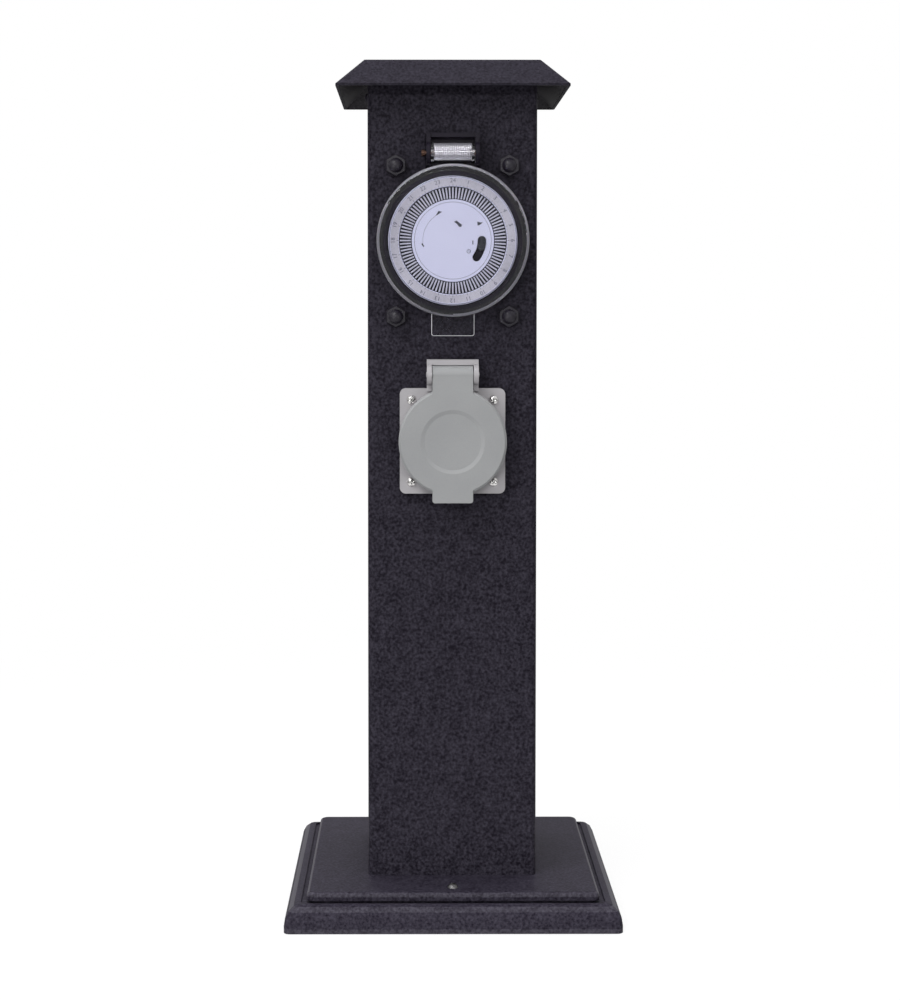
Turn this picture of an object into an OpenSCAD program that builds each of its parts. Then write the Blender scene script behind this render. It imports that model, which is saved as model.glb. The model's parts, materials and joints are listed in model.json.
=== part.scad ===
// Garden socket post: a square post on a stepped plinth, with a hipped roof cap, a round dial
// timer behind a hinged clear lid, and a socket behind a sprung lid. Millimetres, +Z up, front towards -Y.

/* [Plinth] */
// Side of the square plinth
base_w = 156; // [140:1:190]
// Height of the plinth
base_h = 16; // [14:0.5:22]
// Height of the upright lip round the bottom edge
base_lip_h = 3; // [1.5:0.5:5]
// Drop from the plinth's top to the shelf round it
base_shelf_drop = 4; // [3.4:0.2:6]
// Inset of the shelf's outer edge from the bottom edge
base_shelf_in = 7; // [5:0.5:8.5]
// Inset of the raised top from the bottom edge
base_top_in = 10; // [9.5:0.5:13]
// Corner radius of the plinth
base_corner_r = 3; // [2.5:0.5:10]
// Depth of the groove behind the shelf's crest
base_groove_d = 1; // [0.6:0.2:2]
// Undercut below the raised top
base_neck_in = 2; // [1:0.5:4]
// Distance of the plinth screws from the middle
base_screw_y = 59; // [52:0.5:62]
// Width of the steel strap under the plinth
strap_w = 50; // [46:1:60]
// Thickness of the strap
strap_t = 3; // [2:0.5:4]
// Spacing of the foot bolts
foot_bolt_gap = 40; // [34:1:42]

/* [Post] */
// Height from the ground to the top of the cap
total_h = 403; // [364:1:440]
// Side of the square post
post_w = 80; // [72:1:88]
// Wall of the post tube
post_wall = 1.5; // [1:0.1:2.5]
// Outer corner radius of the post tube
post_corner_r = 3; // [2.8:0.2:5]
// Thickness of the foot plate inside the post
foot_plate_t = 3; // [2:0.5:5]

/* [Cap] */
// Overhang of the cap's lower edge past the post
cap_eave = 14.5; // [11:0.5:20]
// Overhang of the cap's flat top past the post
cap_top_over = 1.5; // [1:0.1:3]
// Height of the cap
cap_rise = 13.4; // [11:0.2:18]
// Sheet thickness of the cap
cap_sheet = 1.5; // [1:0.1:2]
// Height of the blunt lip along the cap's lower edge
cap_lip_h = 1; // [0.6:0.2:2]
// Width of the bracket inside the cap
cap_bracket_w = 30; // [20:1:50]
// Length of the bracket's legs
cap_bracket_leg = 19; // [16:1:26]

/* [Cable inlet] */
// Height of the cable gland on the back of the post
gland_z = 42; // [38:1:60]
// Thread radius of the gland
gland_r = 10; // [9:0.5:11]
// Radius of the hole for the cable
cable_r = 4.6; // [3:0.1:5.5]

/* [Timer] */
// Distance from the cap's top down to the dial's centre
timer_drop = 84.9; // [82:0.1:100]
// Distance from the dial's edge to the side of the post
dial_margin = 9.8; // [8.8:0.1:11]
// Width of the hour ring
hour_ring_w = 5.1; // [4.8:0.1:6]
// Length of a tappet along the dial's radius
tappet_len = 5.2; // [4.4:0.1:6]
// Width of a tappet
tappet_w = 0.7; // [0.5:0.02:0.74]
// Number of tappets, one for each quarter of an hour
tappet_count = 96; // [48, 96]
// Number of tappets that are set together
set_count = 12; // [4:1:20]
// Distance that a tappet is pressed
tappet_press = 1.2; // [0.8:0.1:1.3]
// Width of the black collar round the dial
collar_w = 4.2; // [4:0.1:5]
// Distance of the collar's front from the post
collar_h = 9; // [8.6:0.2:12]
// Depth of the clear lid
timer_lid_h = 7.5; // [7:0.1:10]
// Thickness of the clear lid's front
timer_lid_t = 2; // [1.4:0.1:2.4]
// Wall of the clear lid's rim
timer_rim_w = 2.5; // [2:0.1:2.8]
// Width of the clear lid's lift tab
timer_tab_w = 20; // [14:0.5:26]
// Reach of the lift tab below the lid
timer_tab_l = 9; // [5:0.5:11]
// Distance from the clear lid's edge to its hinge pin
timer_pin_out = 5.3; // [4.6:0.1:6]
// Width of the hinge block
hinge_w = 24.8; // [22:0.2:30]
// Thickness of a hinge ear
ear_t = 2; // [1.6:0.1:3]
// Radius of the clear hinge knuckle
knuckle_r = 4.8; // [4.6:0.1:5.2]
// Radius of the hinge pins
pin_r = 1.25; // [1:0.05:1.5]
// Thickness of the timer's back plate
timer_plate_t = 3; // [2:0.5:4]
// Thickness of the gaskets behind the timer and the socket
gasket_t = 1; // [0.6:0.1:1.6]
// Distance from the side of the post to the timer bolts
timer_bolt_in = 13.4; // [12.4:0.1:14]
// Spacing of the timer bolts up the post
timer_bolt_dy = 70.8; // [70:0.2:76]
// Radius of the timer bolts
timer_bolt_r = 2.5; // [2:0.1:2.8]
// Side of the square movement case
movement_w = 56; // [54:1:58]
// Depth of the movement case
movement_d = 16; // [12:1:20]
// Radius of the motor
motor_r = 14; // [10:0.5:15]
// Depth of the motor
motor_d = 12; // [8:0.5:14]
// Distance from the centre disc's edge to the mode slider's path
mode_in = 5.7; // [5.4:0.1:6.4]
// Width of the mode slider's slot
mode_slot_w = 3.8; // [3:0.1:4.2]
// Angle of the slot's upper end, from three o'clock
mode_top_a = 0.8; // [-5:0.2:5]
// Angle over which the slot runs down
mode_sweep_a = 36; // [30:1:44]
// Angle that the slider itself fills
slider_a = 12.5; // [8:0.5:16]

/* [Socket] */
// Distance from the dial's centre down to the socket's centre
socket_drop = 93.9; // [92:0.1:112]
// Side of the square flange
socket_w = 49.6; // [45:0.2:54.4]
// Corner radius of the flange
socket_corner_r = 2.8; // [2:0.2:5]
// Thickness of the flange
flange_t = 4; // [3:0.2:6]
// Distance from the flange's edge to the socket screws
socket_screw_in = 5.5; // [4.8:0.1:5.7]
// Radius of the socket screws
socket_screw_r = 1.5; // [1.2:0.1:1.8]
// Distance from the flange's edge to the plug recess
well_in = 5.3; // [5:0.1:6.2]
// Depth of the plug recess
well_depth = 17.5; // [15:0.5:19]
// Wall of the plug recess
well_wall = 2.7; // [2.2:0.1:3]
// Height of the ring that the lid closes on
seat_h = 3.5; // [3:0.1:6]
// Spacing of the plug's two pins
plug_pin_gap = 19; // [18:0.5:20]
// Radius of the plug's pin holes
plug_pin_r = 2.6; // [2.4:0.1:2.8]
// Overhang of the socket lid past the flange's sides
socket_lid_over = 0.5; // [0:0.1:0.8]
// Thickness of the socket lid
socket_lid_t = 4; // [3.2:0.1:5]
// Width of the lid's tongue
tongue_w = 19; // [16:0.5:24]
// Thickness of the hinge box's cheeks
cheek_t = 2.3; // [1.8:0.1:3]
// Distance from the socket lid's edge to its hinge pin
socket_pin_out = 6.1; // [5.8:0.1:8]
// Radius of the socket lid's knuckle
socket_knuckle_r = 4.1; // [3.9:0.1:4.5]
// Width of the socket lid's lift tab
socket_tab_w = 19; // [14:0.5:24]
// Reach of the socket lid's lift tab below the lid
socket_tab_l = 3.3; // [2:0.1:6]
// Inset of the contact carrier from the recess's outer wall
carrier_in = 1.7; // [1.2:0.1:3]
// Depth of the contact carrier
carrier_d = 22; // [18:0.5:24]

/* [Wiring] */
// Height of the terminal block
block_z = 110; // [100:1:120]
// Radius of a wire
wire_r = 1.1; // [0.8:0.1:1.3]

/* [Hidden] */

$fn = 64;
hull_fn = 32;
tiny = 0.01;
cut = 1;

// Clearances: parts that only pass each other, fixed fits, and running fits
gap = 0.3;
loose = 0.2;
slip = 0.05;

// Plinth and post
base_shelf_h = base_h - base_shelf_drop;
base_edge_r = 2;
base_crest_w = 0.5;
base_groove_z = base_shelf_h - base_groove_d;
base_plate_gap = 0.3;
base_plate_z = base_shelf_h + base_plate_gap;
strap_z = gap;
strap_top = strap_z + strap_t;
strap_end = 7;
strap_l = 2 * (base_screw_y + strap_end);
foot_bolt_r = 3;
foot_head_h = 4;
foot_head_af = 2 * foot_bolt_r + 4;
base_screw_r = 1.5;
base_head_r = 2.5;
base_head_h = 2;
post_in = post_w - 2 * post_wall;
post_in_r = post_corner_r - post_wall;
front = post_w / 2;
inside = post_in / 2;

// Heights of the dial and the socket
timer_z = total_h - timer_drop;
socket_z = timer_z - socket_drop;

// Cap
cap_z = total_h - cap_rise;
cap_w = post_w + 2 * cap_eave;
cap_top_w = post_w + 2 * cap_top_over;
post_top = total_h - cap_sheet;
cap_slope = (cap_w - cap_top_w) / 2 / (cap_rise - cap_lip_h);
cap_screw_r = 1.45;
cap_head_r = 2.7;
cap_head_h = 2.2;
cap_bracket_t = 1.5;
cap_screw_l = post_wall + cap_bracket_t + 2;
cap_corner_r = 1.5;
cap_inner_r = 0.5;

// Cable gland
gland_hex = 24;
gland_flange_t = 4;
gland_stub = 9;
gland_cap_l = 13;
gland_nut_t = 4;
gland_nut_af = gland_hex + 3;
gland_stub_r = gland_r - 1;
gland_tail = post_wall + gland_nut_t + 1;
gland_dome = 3;
gland_seal_t = 2;
gland_seal_in = 0.5;
gland_bore_r = cable_r + gland_seal_t;

// Timer levels along the dial's axis, counted outwards from the front of the post
deck_z = -post_wall - gasket_t;
plate_back = deck_z - timer_plate_t;
gear_lift = 2.5;
gear_z = deck_z + gear_lift;
gear_h = 4;
pinion_h = 3.2;
pressed_clear = 0.4;
hour_ring_h = 7;
tappet_z = gear_z + loose + pinion_h + pressed_clear + tappet_press;
tappet_h = 5.6;
tappet_tail = 0.6;
dial_carrier_z = tappet_z + tappet_tail;
dial_carrier_h = 3;
boss_z = dial_carrier_z + dial_carrier_h + gap;
centre_t = 1.5;
slider_foot = 1;
slider_rise = 0.6;
ridge_rise = 1.1;
ridge_w = 0.6;
mode_room = 0.5;
lid_z = collar_h + gap;

// Timer radii, from the outside in
dial_r = post_w / 2 - dial_margin;
collar_in_r = dial_r + 0.5;
collar_r = collar_in_r + collar_w;
timer_lid_r = collar_r + 0.5;
aperture_r = collar_r + 0.4;
seal_out_r = collar_r - 0.8;
seal_in_r = collar_r - 2.4;
seal_depth = 1.4;
ring_in_r = dial_r - hour_ring_w;
tappet_gap = 0.35;
tappet_out_r = ring_in_r - tappet_gap;
tappet_in_r = tappet_out_r - tappet_len;
centre_r = tappet_in_r - tappet_gap;
mode_r = centre_r - mode_in;
centre_lap = 1.4;
hub_r = centre_r - centre_lap;
boss_r = hub_r + 1;
dial_bevel = 0.9;
tappet_step = 360 / tappet_count;
set_first = 68;
set_last = set_first + set_count - 1;

// Timer hinge
pin_y = timer_lid_r + timer_pin_out;
hinge_top = pin_y + 9.5;
hinge_low = timer_lid_r - 0.3;
hinge_back = lid_z - knuckle_r - 1;
hinge_wall_z = lid_z - 1;
ear_in = hinge_w / 2 - ear_t;
knuckle_half = ear_in - gap;
ear_nose_r = 5;
pin_tail = 2.2;
pin_head_r = pin_r + 0.45;
spring_wire = 0.9;
spring_gap = 0.5;
spring_room = 0.25;
chamber_r = knuckle_r - 1.2;
chamber_half = knuckle_half - 1.3;
neck_t = knuckle_r - 0.6;
timer_tab_t = 2.4;
tab_corner_r = 1.2;
tab_step = 1;

// Timer fixings
timer_bolt_dx = post_w - 2 * timer_bolt_in;
timer_plate_w = post_in - 4;
timer_plate_low = timer_bolt_dy / 2 + 7;
timer_plate_top = hinge_top + 3.5;
plate_corner_r = 4;
washer_r = 5.2;
washer_t = 1;
dome_af = 8.6;
dome_hex_h = 4;
dome_r = 3.4;
bolt_head_af = 8;
bolt_head_h = 3.5;

// Timer drive
ring_teeth = 80;
pinion_teeth = 10;
gear_rim_r = dial_r - 0.7;
gear_pitch_r = gear_rim_r - 2.2;
gear_module = 2 * gear_pitch_r / ring_teeth;
pinion_pitch_r = gear_module * pinion_teeth / 2;
pinion_a = 225;
pinion_at = (gear_pitch_r - pinion_pitch_r) * [cos(pinion_a), sin(pinion_a)];
shaft_r = 1;
motor_step = 1;
switch_a = 35;
switch_at = (tappet_in_r + tappet_len / 2) * [cos(switch_a), sin(switch_a)];
switch_size = [20, 8, 14];
plunger_r = 1.2;
plunger_tip = tappet_z - gap;
movement_back = plate_back - movement_d;
movement_screw_r = 1.5;
movement_hole_r = movement_w / 2 - 4;
screw_skin = 0.8;
movement_screw_l = movement_d + timer_plate_t - screw_skin - gap;
inner_head_r = 2.5;
inner_head_h = 1.7;
shaft_depth = 4.5;
plunger_depth = 2;

// Socket radii and places, from its flange
well_r = socket_w / 2 - well_in;
well_out_r = well_r + well_wall;
well_hole_r = well_out_r + gap;
seat_r = well_out_r + 1.6;
carrier_r = well_out_r - carrier_in;
socket_lid_r = socket_w / 2 + socket_lid_over;
socket_pin_y = socket_lid_r + socket_pin_out;
socket_screw_gap = socket_w - 2 * socket_screw_in;

// Socket levels, counted outwards from the front of the post
flange_z = gasket_t;
flange_front = flange_z + flange_t;
seat_z = flange_front + seat_h;
well_floor = seat_z - well_depth;
floor_t = 3;
rib = 1.8;
rib_w = 4.4;
rib_drop = 2;
floor_back = well_floor - floor_t;
socket_lid_z = seat_z + 0.5;
lid_seal_t = 1.4;
lid_seal_drop = 0.4;
lid_seal_out_r = seat_r - 0.4;
lid_seal_in_r = well_r + 1;
lid_bevel = 1;
badge_r = 15;
badge_d = 0.5;
tab_root = 4;
box_w = tongue_w + 2 * gap + 2 * cheek_t;
box_low = socket_w / 2 - 1;
box_wall = 2.6;
box_top = socket_pin_y + socket_knuckle_r + gap + box_wall;
box_back_t = 2.4;
gasket_in = 0.4;
socket_nose_r = 4.9;
socket_chamber_r = socket_knuckle_r - 1;
socket_chamber_half = tongue_w / 2 - 3.5;
socket_head_r = 2.4;
socket_head_h = 1.6;
nut_h = 3;
nut_af = 6;
contact_r = plug_pin_r + 0.8;
carrier_back = floor_back - carrier_d;
clip_w = 6;
clip_t = 0.8;
clip_y = well_r - clip_t - gap;
clip_root = 3;
contact_l = 18;
contact_end = 2;
contact_slit_w = 0.6;
contact_slit_l = 12;
carrier_screw_r = 1.5;
carrier_screw_l = 5.5;
carrier_hole_r = carrier_r - 4;
clip_l = clip_root + floor_t + well_depth - 3;

// Wiring: places in the post, and the wires' routes
block_size = [34, 16, 14];
block_pitch = 11;
block_screw_r = 1.8;
block_screw_z = 3.5;
block_screw_l = 4;
block_screw_in = 1;
block_groove_w = 1.2;
block_groove_d = 6;
screw_slot_w = 0.6;
stud_r = 2.5;
stud_drop = 30;
stud_z = block_z - stud_drop;
stud_l = 12;
lug_r = 5;
lug_t = 1;
lug_tongue = [4, 12];
stud_nut_af = 8;
stud_nut_h = 4;
block_top = block_z + block_size[2] / 2;
block_low = block_z - block_size[2] / 2;
socket_back_y = -front - carrier_back;
switch_back_y = -front - movement_back + switch_size[2];
motor_back_y = -front - movement_back + motor_d;
switch_z = timer_z + switch_at[1];
motor_x = pinion_at[0];
motor_z = timer_z + pinion_at[1];
lug_y = inside - 5;
lug_mid = lug_y - lug_t / 2;
contact_x = plug_pin_gap / 2;
wire_y = inside - block_size[1] / 2 - 0.5;
bend = 6;
rise = block_top + 3 * bend;
switch_out_y = switch_back_y + bend;
socket_out_y = socket_back_y + bend;
line_x = switch_at[0] + 0.8 * bend;
switched_x = switch_at[0] - 0.8 * bend;
line_route = [[block_pitch, wire_y, block_top], [block_pitch, wire_y, rise],
              [2.3 * bend, wire_y - 0.3 * bend, socket_z - 4 * bend],
              [3.3 * bend, wire_y - bend, socket_z + 8 * bend],
              [line_x, wire_y - 2.7 * bend, switch_z - 2 * bend],
              [line_x, switch_out_y, switch_z], [line_x, switch_back_y, switch_z]];
switched_route = [[switched_x, switch_back_y, switch_z], [switched_x, switch_out_y, switch_z],
                  [2 * bend, wire_y - 2.5 * bend, timer_z - 1.5 * bend],
                  [1.7 * bend, wire_y - 2.2 * bend, timer_z - 8 * bend],
                  [contact_x, wire_y - 3 * bend, socket_z + 2 * bend],
                  [contact_x, socket_out_y, socket_z], [contact_x, socket_back_y, socket_z]];
neutral_route = [[-1.5 * bend, wire_y, block_top], [-1.5 * bend, wire_y, rise],
                 [-1.7 * bend, wire_y - 0.7 * bend, socket_z - 7 * bend],
                 [-contact_x, wire_y - 2.3 * bend, socket_z - 2 * bend],
                 [-contact_x, socket_out_y, socket_z], [-contact_x, socket_back_y, socket_z]];
timer_route = [[-2.2 * bend, wire_y, block_top], [-2.3 * bend, wire_y, rise],
               [-3.7 * bend, wire_y - 0.2 * bend, socket_z - 4 * bend],
               [-3.7 * bend, wire_y - 0.7 * bend, socket_z + 6 * bend],
               [motor_x, wire_y - 2.7 * bend, motor_z - 2 * bend],
               [motor_x, motor_back_y + bend, motor_z], [motor_x, motor_back_y, motor_z]];
earth_route = [[0, wire_y, block_top], [0, wire_y, rise],
               [0, wire_y - 0.7 * bend, socket_z - 8 * bend],
               [0, wire_y - 2.7 * bend, socket_z - 4 * bend],
               [0, socket_out_y, socket_z - 2 * bend], [0, socket_back_y, socket_z - 2 * bend]];
bond_route = [[0, wire_y + 0.3 * bend, block_low], [0, wire_y + 0.3 * bend, block_low - 0.7 * bend],
              [0, lug_mid, stud_z + lug_tongue[1] + 0.8 * bend], [0, lug_mid, stud_z + lug_tongue[1]]];
wire_sides = 8;
wire_steps = 2;

// Colours
paint = [0.13, 0.13, 0.14];
black = [0.08, 0.08, 0.08];
rubber = [0.15, 0.15, 0.16];
grey = [0.62, 0.62, 0.63];
white = [0.85, 0.85, 0.9];
dark = [0.2, 0.21, 0.26];
clear = [0.8, 0.85, 0.9, 0.4];
steel = [0.72, 0.72, 0.74];
brass = [0.78, 0.62, 0.3];
copper = [0.55, 0.36, 0.26];
brown = [0.35, 0.2, 0.12];
blue = [0.15, 0.3, 0.6];
green = [0.3, 0.55, 0.2];

// Places a child on the front of the post: x to the right, y up, z outwards
module on_front(height) {
  translate([0, -front, height]) rotate([90, 0, 0]) children();
}

// Places a child on the back of the post, with z outwards
module on_back(height) {
  translate([0, front, height]) rotate([-90, 0, 0]) children();
}

// A child at each corner of a rectangle
module corners(dx, dy) {
  for (sx = [-1, 1], sy = [-1, 1]) translate([sx * dx / 2, sy * dy / 2]) children();
}

// Four children on a circle, from a first angle
module round_pattern(r, first) {
  for (k = [0 : 3]) rotate([0, 0, first + 90 * k]) translate([r, 0]) children();
}

// A rod from one height to another
module rod(r, low, high) {
  translate([0, 0, low]) cylinder(r = r, h = high - low);
}

// A hexagon prism across its flats, from one height to another
module hex(af, low, high) {
  translate([0, 0, low]) rotate([0, 0, 30]) cylinder(r = af / sqrt(3), h = high - low, $fn = 6);
}

module rounded_square(w, h, r) {
  square([w, h - 2 * r], center = true);
  square([w - 2 * r, h], center = true);
  corners(w - 2 * r, h - 2 * r) circle(r);
}

module ring(r_out, r_in, low, high) {
  translate([0, 0, low]) linear_extrude(high - low) difference() {
    circle(r_out);
    circle(r_in);
  }
}

// A thin square layer with round corners, for the tapered forms
module layer(w, r, z) {
  translate([0, 0, z]) linear_extrude(tiny) rounded_square(w, w, r, $fn = hull_fn);
}

// A screw or bolt with a low domed head that sits at height zero and points down
module dome_screw(head_r, head_h, shank_r, length) {
  ball_r = (head_r * head_r + head_h * head_h) / (2 * head_h);
  rotate_extrude() intersection() {
    translate([0, head_h - ball_r]) circle(ball_r);
    square([head_r, head_h]);
  }
  rod(shank_r, -length, 0);
}

// A slot along an arc, flat, with round ends
module arc_slot(r, w, from, to) {
  reach = [for (a = [from, (from + to) / 2, to]) 2 * r * [cos(a), sin(a)]];
  intersection() {
    difference() {
      circle(r + w / 2);
      circle(r - w / 2);
    }
    polygon(concat([[0, 0]], reach));
  }
  for (a = [from, to]) translate(r * [cos(a), sin(a)]) circle(w / 2, $fn = 24);
}

// Points of a smooth curve through a route
function spline_at(a, b, c, d, t) =
  0.5 * (2 * b + (c - a) * t + (2 * a - 5 * b + 4 * c - d) * t * t + (3 * b - a - 3 * c + d) * t * t * t);
function spline(route, steps) =
  let (n = len(route) - 1)
  concat([for (i = [0 : n - 1], k = [0 : steps - 1])
            spline_at(route[max(i - 1, 0)], route[i], route[i + 1], route[min(i + 2, n)], k / steps)],
         [route[n]]);

// Directions along a path that starts and ends as its guide does, and a side direction that turns little
function unit(v) = v / norm(v);
function along(path, guide) =
  let (n = len(path) - 1, m = len(guide) - 1)
  [unit(guide[1] - guide[0]), for (i = [1 : n - 1]) unit(path[i + 1] - path[i - 1]),
   unit(guide[m] - guide[m - 1])];
function across(side, way) = unit(side - way * (side * way));
function sides_of(ways, first) =
  [for (i = 0, s = across(first, ways[0]); i < len(ways);
        i = i + 1, s = i < len(ways) ? across(s, ways[i]) : s) s];

// A round tube along a path, as one closed mesh of triangles
module tube_along(path, guide, r, sides, first) {
  ways = along(path, guide);
  u = sides_of(ways, first);
  n = len(path);
  points = [for (i = [0 : n - 1], j = [0 : sides - 1])
              path[i] + r * (cos(360 * j / sides) * u[i] + sin(360 * j / sides) * cross(ways[i], u[i]))];
  walls = [for (i = [0 : n - 2], j = [0 : sides - 1])
             let (a = i * sides + j, b = i * sides + (j + 1) % sides)
             each [[a, a + sides, b + sides], [a, b + sides, b]]];
  near = [for (j = [1 : sides - 2]) [0, j, j + 1]];
  last = (n - 1) * sides;
  far = [for (j = [1 : sides - 2]) [last, last + j + 1, last + j]];
  polyhedron(points = points, faces = concat(walls, near, far), convexity = 6);
}

// A coil along X, and the least distance between its neighbouring turns
function coil_path(r, half, turns, rings) =
  [for (i = [0 : turns * rings])
     [-half + 2 * half * i / (turns * rings), r * sin(360 * i / rings), r * cos(360 * i / rings)]];
function coil_gap(path, rings, wire) =
  min([for (i = [0 : len(path) - 1 - rings], k = [rings - 1 : rings + 1])
         if (i + k < len(path)) norm(path[i + k] - path[i]) - wire]);
coil_rings = 8;
coil_sides = 6;
module coil(r, half, turns, wire) {
  path = coil_path(r, half, turns, coil_rings);
  echo(least_gap_of_spring = coil_gap(path, coil_rings, wire));
  tube_along(path, path, wire / 2, coil_sides, [0, 0, 1]);
}
function coil_turns(half) = floor((2 * half - spring_wire) / (spring_wire + spring_gap));

// The pin bore along X, and the space for the spring, open towards the post
module spring_chamber(r, half, outer_r, bore_half) {
  rotate([0, 90, 0]) rod(pin_r + slip, -bore_half, bore_half);
  rotate([0, 90, 0]) rod(r, -half, half);
  translate([-half, -r, -2 * outer_r]) cube([2 * half, 2 * r, 2 * outer_r]);
}

// Outline of a gear: root and tip of each tooth, as straight flanks
root_half = 0.3;
tip_half = 0.13;
function polar(r, a) = r * [cos(a), sin(a)];
function gear_outline(teeth, root_r, tip_r) =
  let (p = 360 / teeth)
  [for (k = [0 : teeth - 1])
     each [polar(root_r, (k - root_half) * p), polar(tip_r, (k - tip_half) * p),
           polar(tip_r, (k + tip_half) * p), polar(root_r, (k + root_half) * p)]];
tooth_tip = 0.65 * gear_module;
tooth_root = gear_module;

// Plinth

module base_plinth() {
  pan_w = base_w - 2 * (base_shelf_in + base_crest_w);
  neck_w = base_w - 2 * (base_top_in + base_neck_in);
  color(paint) difference() {
    union() {
      difference() {
        hull() {
          layer(base_w, base_corner_r, 0);
          for (a = [0 : 22.5 : 90])
            layer(base_w - 2 * base_shelf_in * (1 - cos(a)), base_corner_r,
                  base_lip_h + (base_shelf_h - base_lip_h) * sin(a) - tiny);
        }
        translate([0, 0, base_groove_z]) linear_extrude(base_groove_d + cut)
          rounded_square(pan_w, pan_w, base_corner_r, $fn = hull_fn);
      }
      translate([0, 0, base_groove_z - tiny]) linear_extrude(base_plate_z - base_groove_z + 2 * tiny)
        rounded_square(neck_w, neck_w, base_corner_r, $fn = hull_fn);
      hull() {
        layer(base_w - 2 * base_top_in, base_corner_r, base_plate_z);
        for (a = [0 : 22.5 : 90])
          layer(base_w - 2 * base_top_in - 2 * base_edge_r * (1 - cos(a)), base_corner_r,
                base_h - base_edge_r * (1 - sin(a)) - tiny);
      }
    }
    translate([0, 0, -cut]) linear_extrude(strap_top + cut)
      square([strap_w + 2 * gap, strap_l + 2 * gap], center = true);
    corners(foot_bolt_gap, foot_bolt_gap) rod(foot_bolt_r + loose, 0, base_h + cut);
    for (s = [-1, 1]) translate([0, s * base_screw_y]) rod(base_screw_r + loose, 0, base_h + cut);
  }
}

module foot_strap() {
  color(steel) translate([0, 0, strap_z]) linear_extrude(strap_t) difference() {
    square([strap_w, strap_l], center = true);
    corners(foot_bolt_gap, foot_bolt_gap) circle(foot_bolt_r + slip);
    for (s = [-1, 1]) translate([0, s * base_screw_y]) circle(base_screw_r + slip);
  }
}

module foot_plate() {
  color(paint) translate([0, 0, base_h]) linear_extrude(foot_plate_t) difference() {
    rounded_square(post_in, post_in, post_in_r);
    corners(foot_bolt_gap, foot_bolt_gap) circle(foot_bolt_r + loose);
  }
}

module foot_bolts() {
  head = base_h + foot_plate_t;
  color(steel) corners(foot_bolt_gap, foot_bolt_gap) {
    hex(foot_head_af, head, head + foot_head_h);
    rod(foot_bolt_r, strap_z + gap, head);
  }
}

module base_screws() {
  color(steel) for (s = [-1, 1]) translate([0, s * base_screw_y, base_h])
    dome_screw(base_head_r, base_head_h, base_screw_r, base_h - strap_z - gap);
}

// Post and cap

module post_tube() {
  color(paint) difference() {
    translate([0, 0, base_h]) linear_extrude(post_top - base_h) difference() {
      rounded_square(post_w, post_w, post_corner_r);
      rounded_square(post_in, post_in, post_in_r);
    }
    on_front(timer_z) {
      rod(aperture_r, -post_wall - cut, cut);
      translate([-hinge_w / 2 - gap, 0, -post_wall - cut])
        cube([hinge_w + 2 * gap, hinge_top + gap, post_wall + 2 * cut]);
      corners(timer_bolt_dx, timer_bolt_dy) rod(timer_bolt_r + loose, -post_wall - cut, cut);
    }
    on_front(socket_z) {
      rod(well_hole_r, -post_wall - cut, cut);
      corners(socket_screw_gap, socket_screw_gap) rod(socket_screw_r + loose, -post_wall - cut, cut);
    }
    on_back(gland_z) rod(gland_r + slip, -post_wall - cut, cut);
    for (s = [-1, 1]) translate([s * front, 0, cap_z]) rotate([0, 90, 0])
      rod(cap_screw_r + slip, -post_wall - cut, post_wall + cut);
  }
}

// A square block with a straight lower edge and sides that lean in above it
module hipped(w, lip, top_w, low, high, r) {
  translate([0, 0, low]) linear_extrude(lip) rounded_square(w, w, r);
  translate([0, 0, low + lip]) linear_extrude(high - low - lip, scale = top_w / w) rounded_square(w, w, r);
}

module cap_roof() {
  secant = sqrt(1 + cap_slope * cap_slope);
  top_in = cap_sheet * (secant - cap_slope);
  lip_drop = cap_sheet * (secant - 1) / cap_slope;
  inner_w = cap_w - 2 * cap_sheet;
  color(paint) difference() {
    hipped(cap_w, cap_lip_h, cap_top_w, cap_z, total_h, cap_corner_r);
    hipped(inner_w, cap_lip_h - lip_drop + cut, cap_top_w - 2 * top_in, cap_z - cut, post_top, cap_inner_r);
  }
}

module cap_bracket() {
  color(steel) difference() {
    union() {
      translate([-inside, -cap_bracket_w / 2, post_top - cap_bracket_t])
        cube([post_in, cap_bracket_w, cap_bracket_t]);
      for (x = [-inside, inside - cap_bracket_t])
        translate([x, -cap_bracket_w / 2, post_top - cap_bracket_leg])
          cube([cap_bracket_t, cap_bracket_w, cap_bracket_leg]);
    }
    translate([0, 0, cap_z]) rotate([0, 90, 0]) rod(cap_screw_r + slip, -front, front);
  }
}

module cap_screws() {
  color(paint) for (s = [-1, 1]) translate([s * front, 0, cap_z]) rotate([0, s * 90, 0])
    dome_screw(cap_head_r, cap_head_h, cap_screw_r, cap_screw_l);
}

// Cable gland on the back of the post

module gland_body() {
  color(black) on_back(gland_z) difference() {
    union() {
      hex(gland_hex, 0, gland_flange_t);
      rod(gland_r, -gland_tail, tiny);
      rod(gland_stub_r, 0, gland_flange_t + gland_stub);
    }
    rod(gland_bore_r, -gland_tail - cut, gland_flange_t + gland_stub + cut);
  }
}

module gland_locknut() {
  color(black) on_back(gland_z) difference() {
    hex(gland_nut_af, -post_wall - gland_nut_t, -post_wall);
    rod(gland_r + slip, -post_wall - gland_nut_t - cut, cut);
  }
}

module gland_cap() {
  low = gland_flange_t + gap;
  high = gland_flange_t + gland_cap_l;
  color(black) on_back(gland_z) difference() {
    union() {
      hex(gland_hex, low, high - gland_dome);
      translate([0, 0, high - gland_dome - tiny])
        cylinder(r1 = gland_hex / 2, r2 = gland_r, h = gland_dome);
    }
    rod(gland_stub_r + slip, low - cut, gland_flange_t + gland_stub + gap);
    rod(gland_bore_r + slip, low, high + cut);
  }
}

module gland_seal() {
  color(rubber) on_back(gland_z)
    ring(gland_bore_r - slip, cable_r, gland_flange_t, gland_flange_t + gland_cap_l - gland_seal_in);
}

// Supply wiring inside the post

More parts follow.
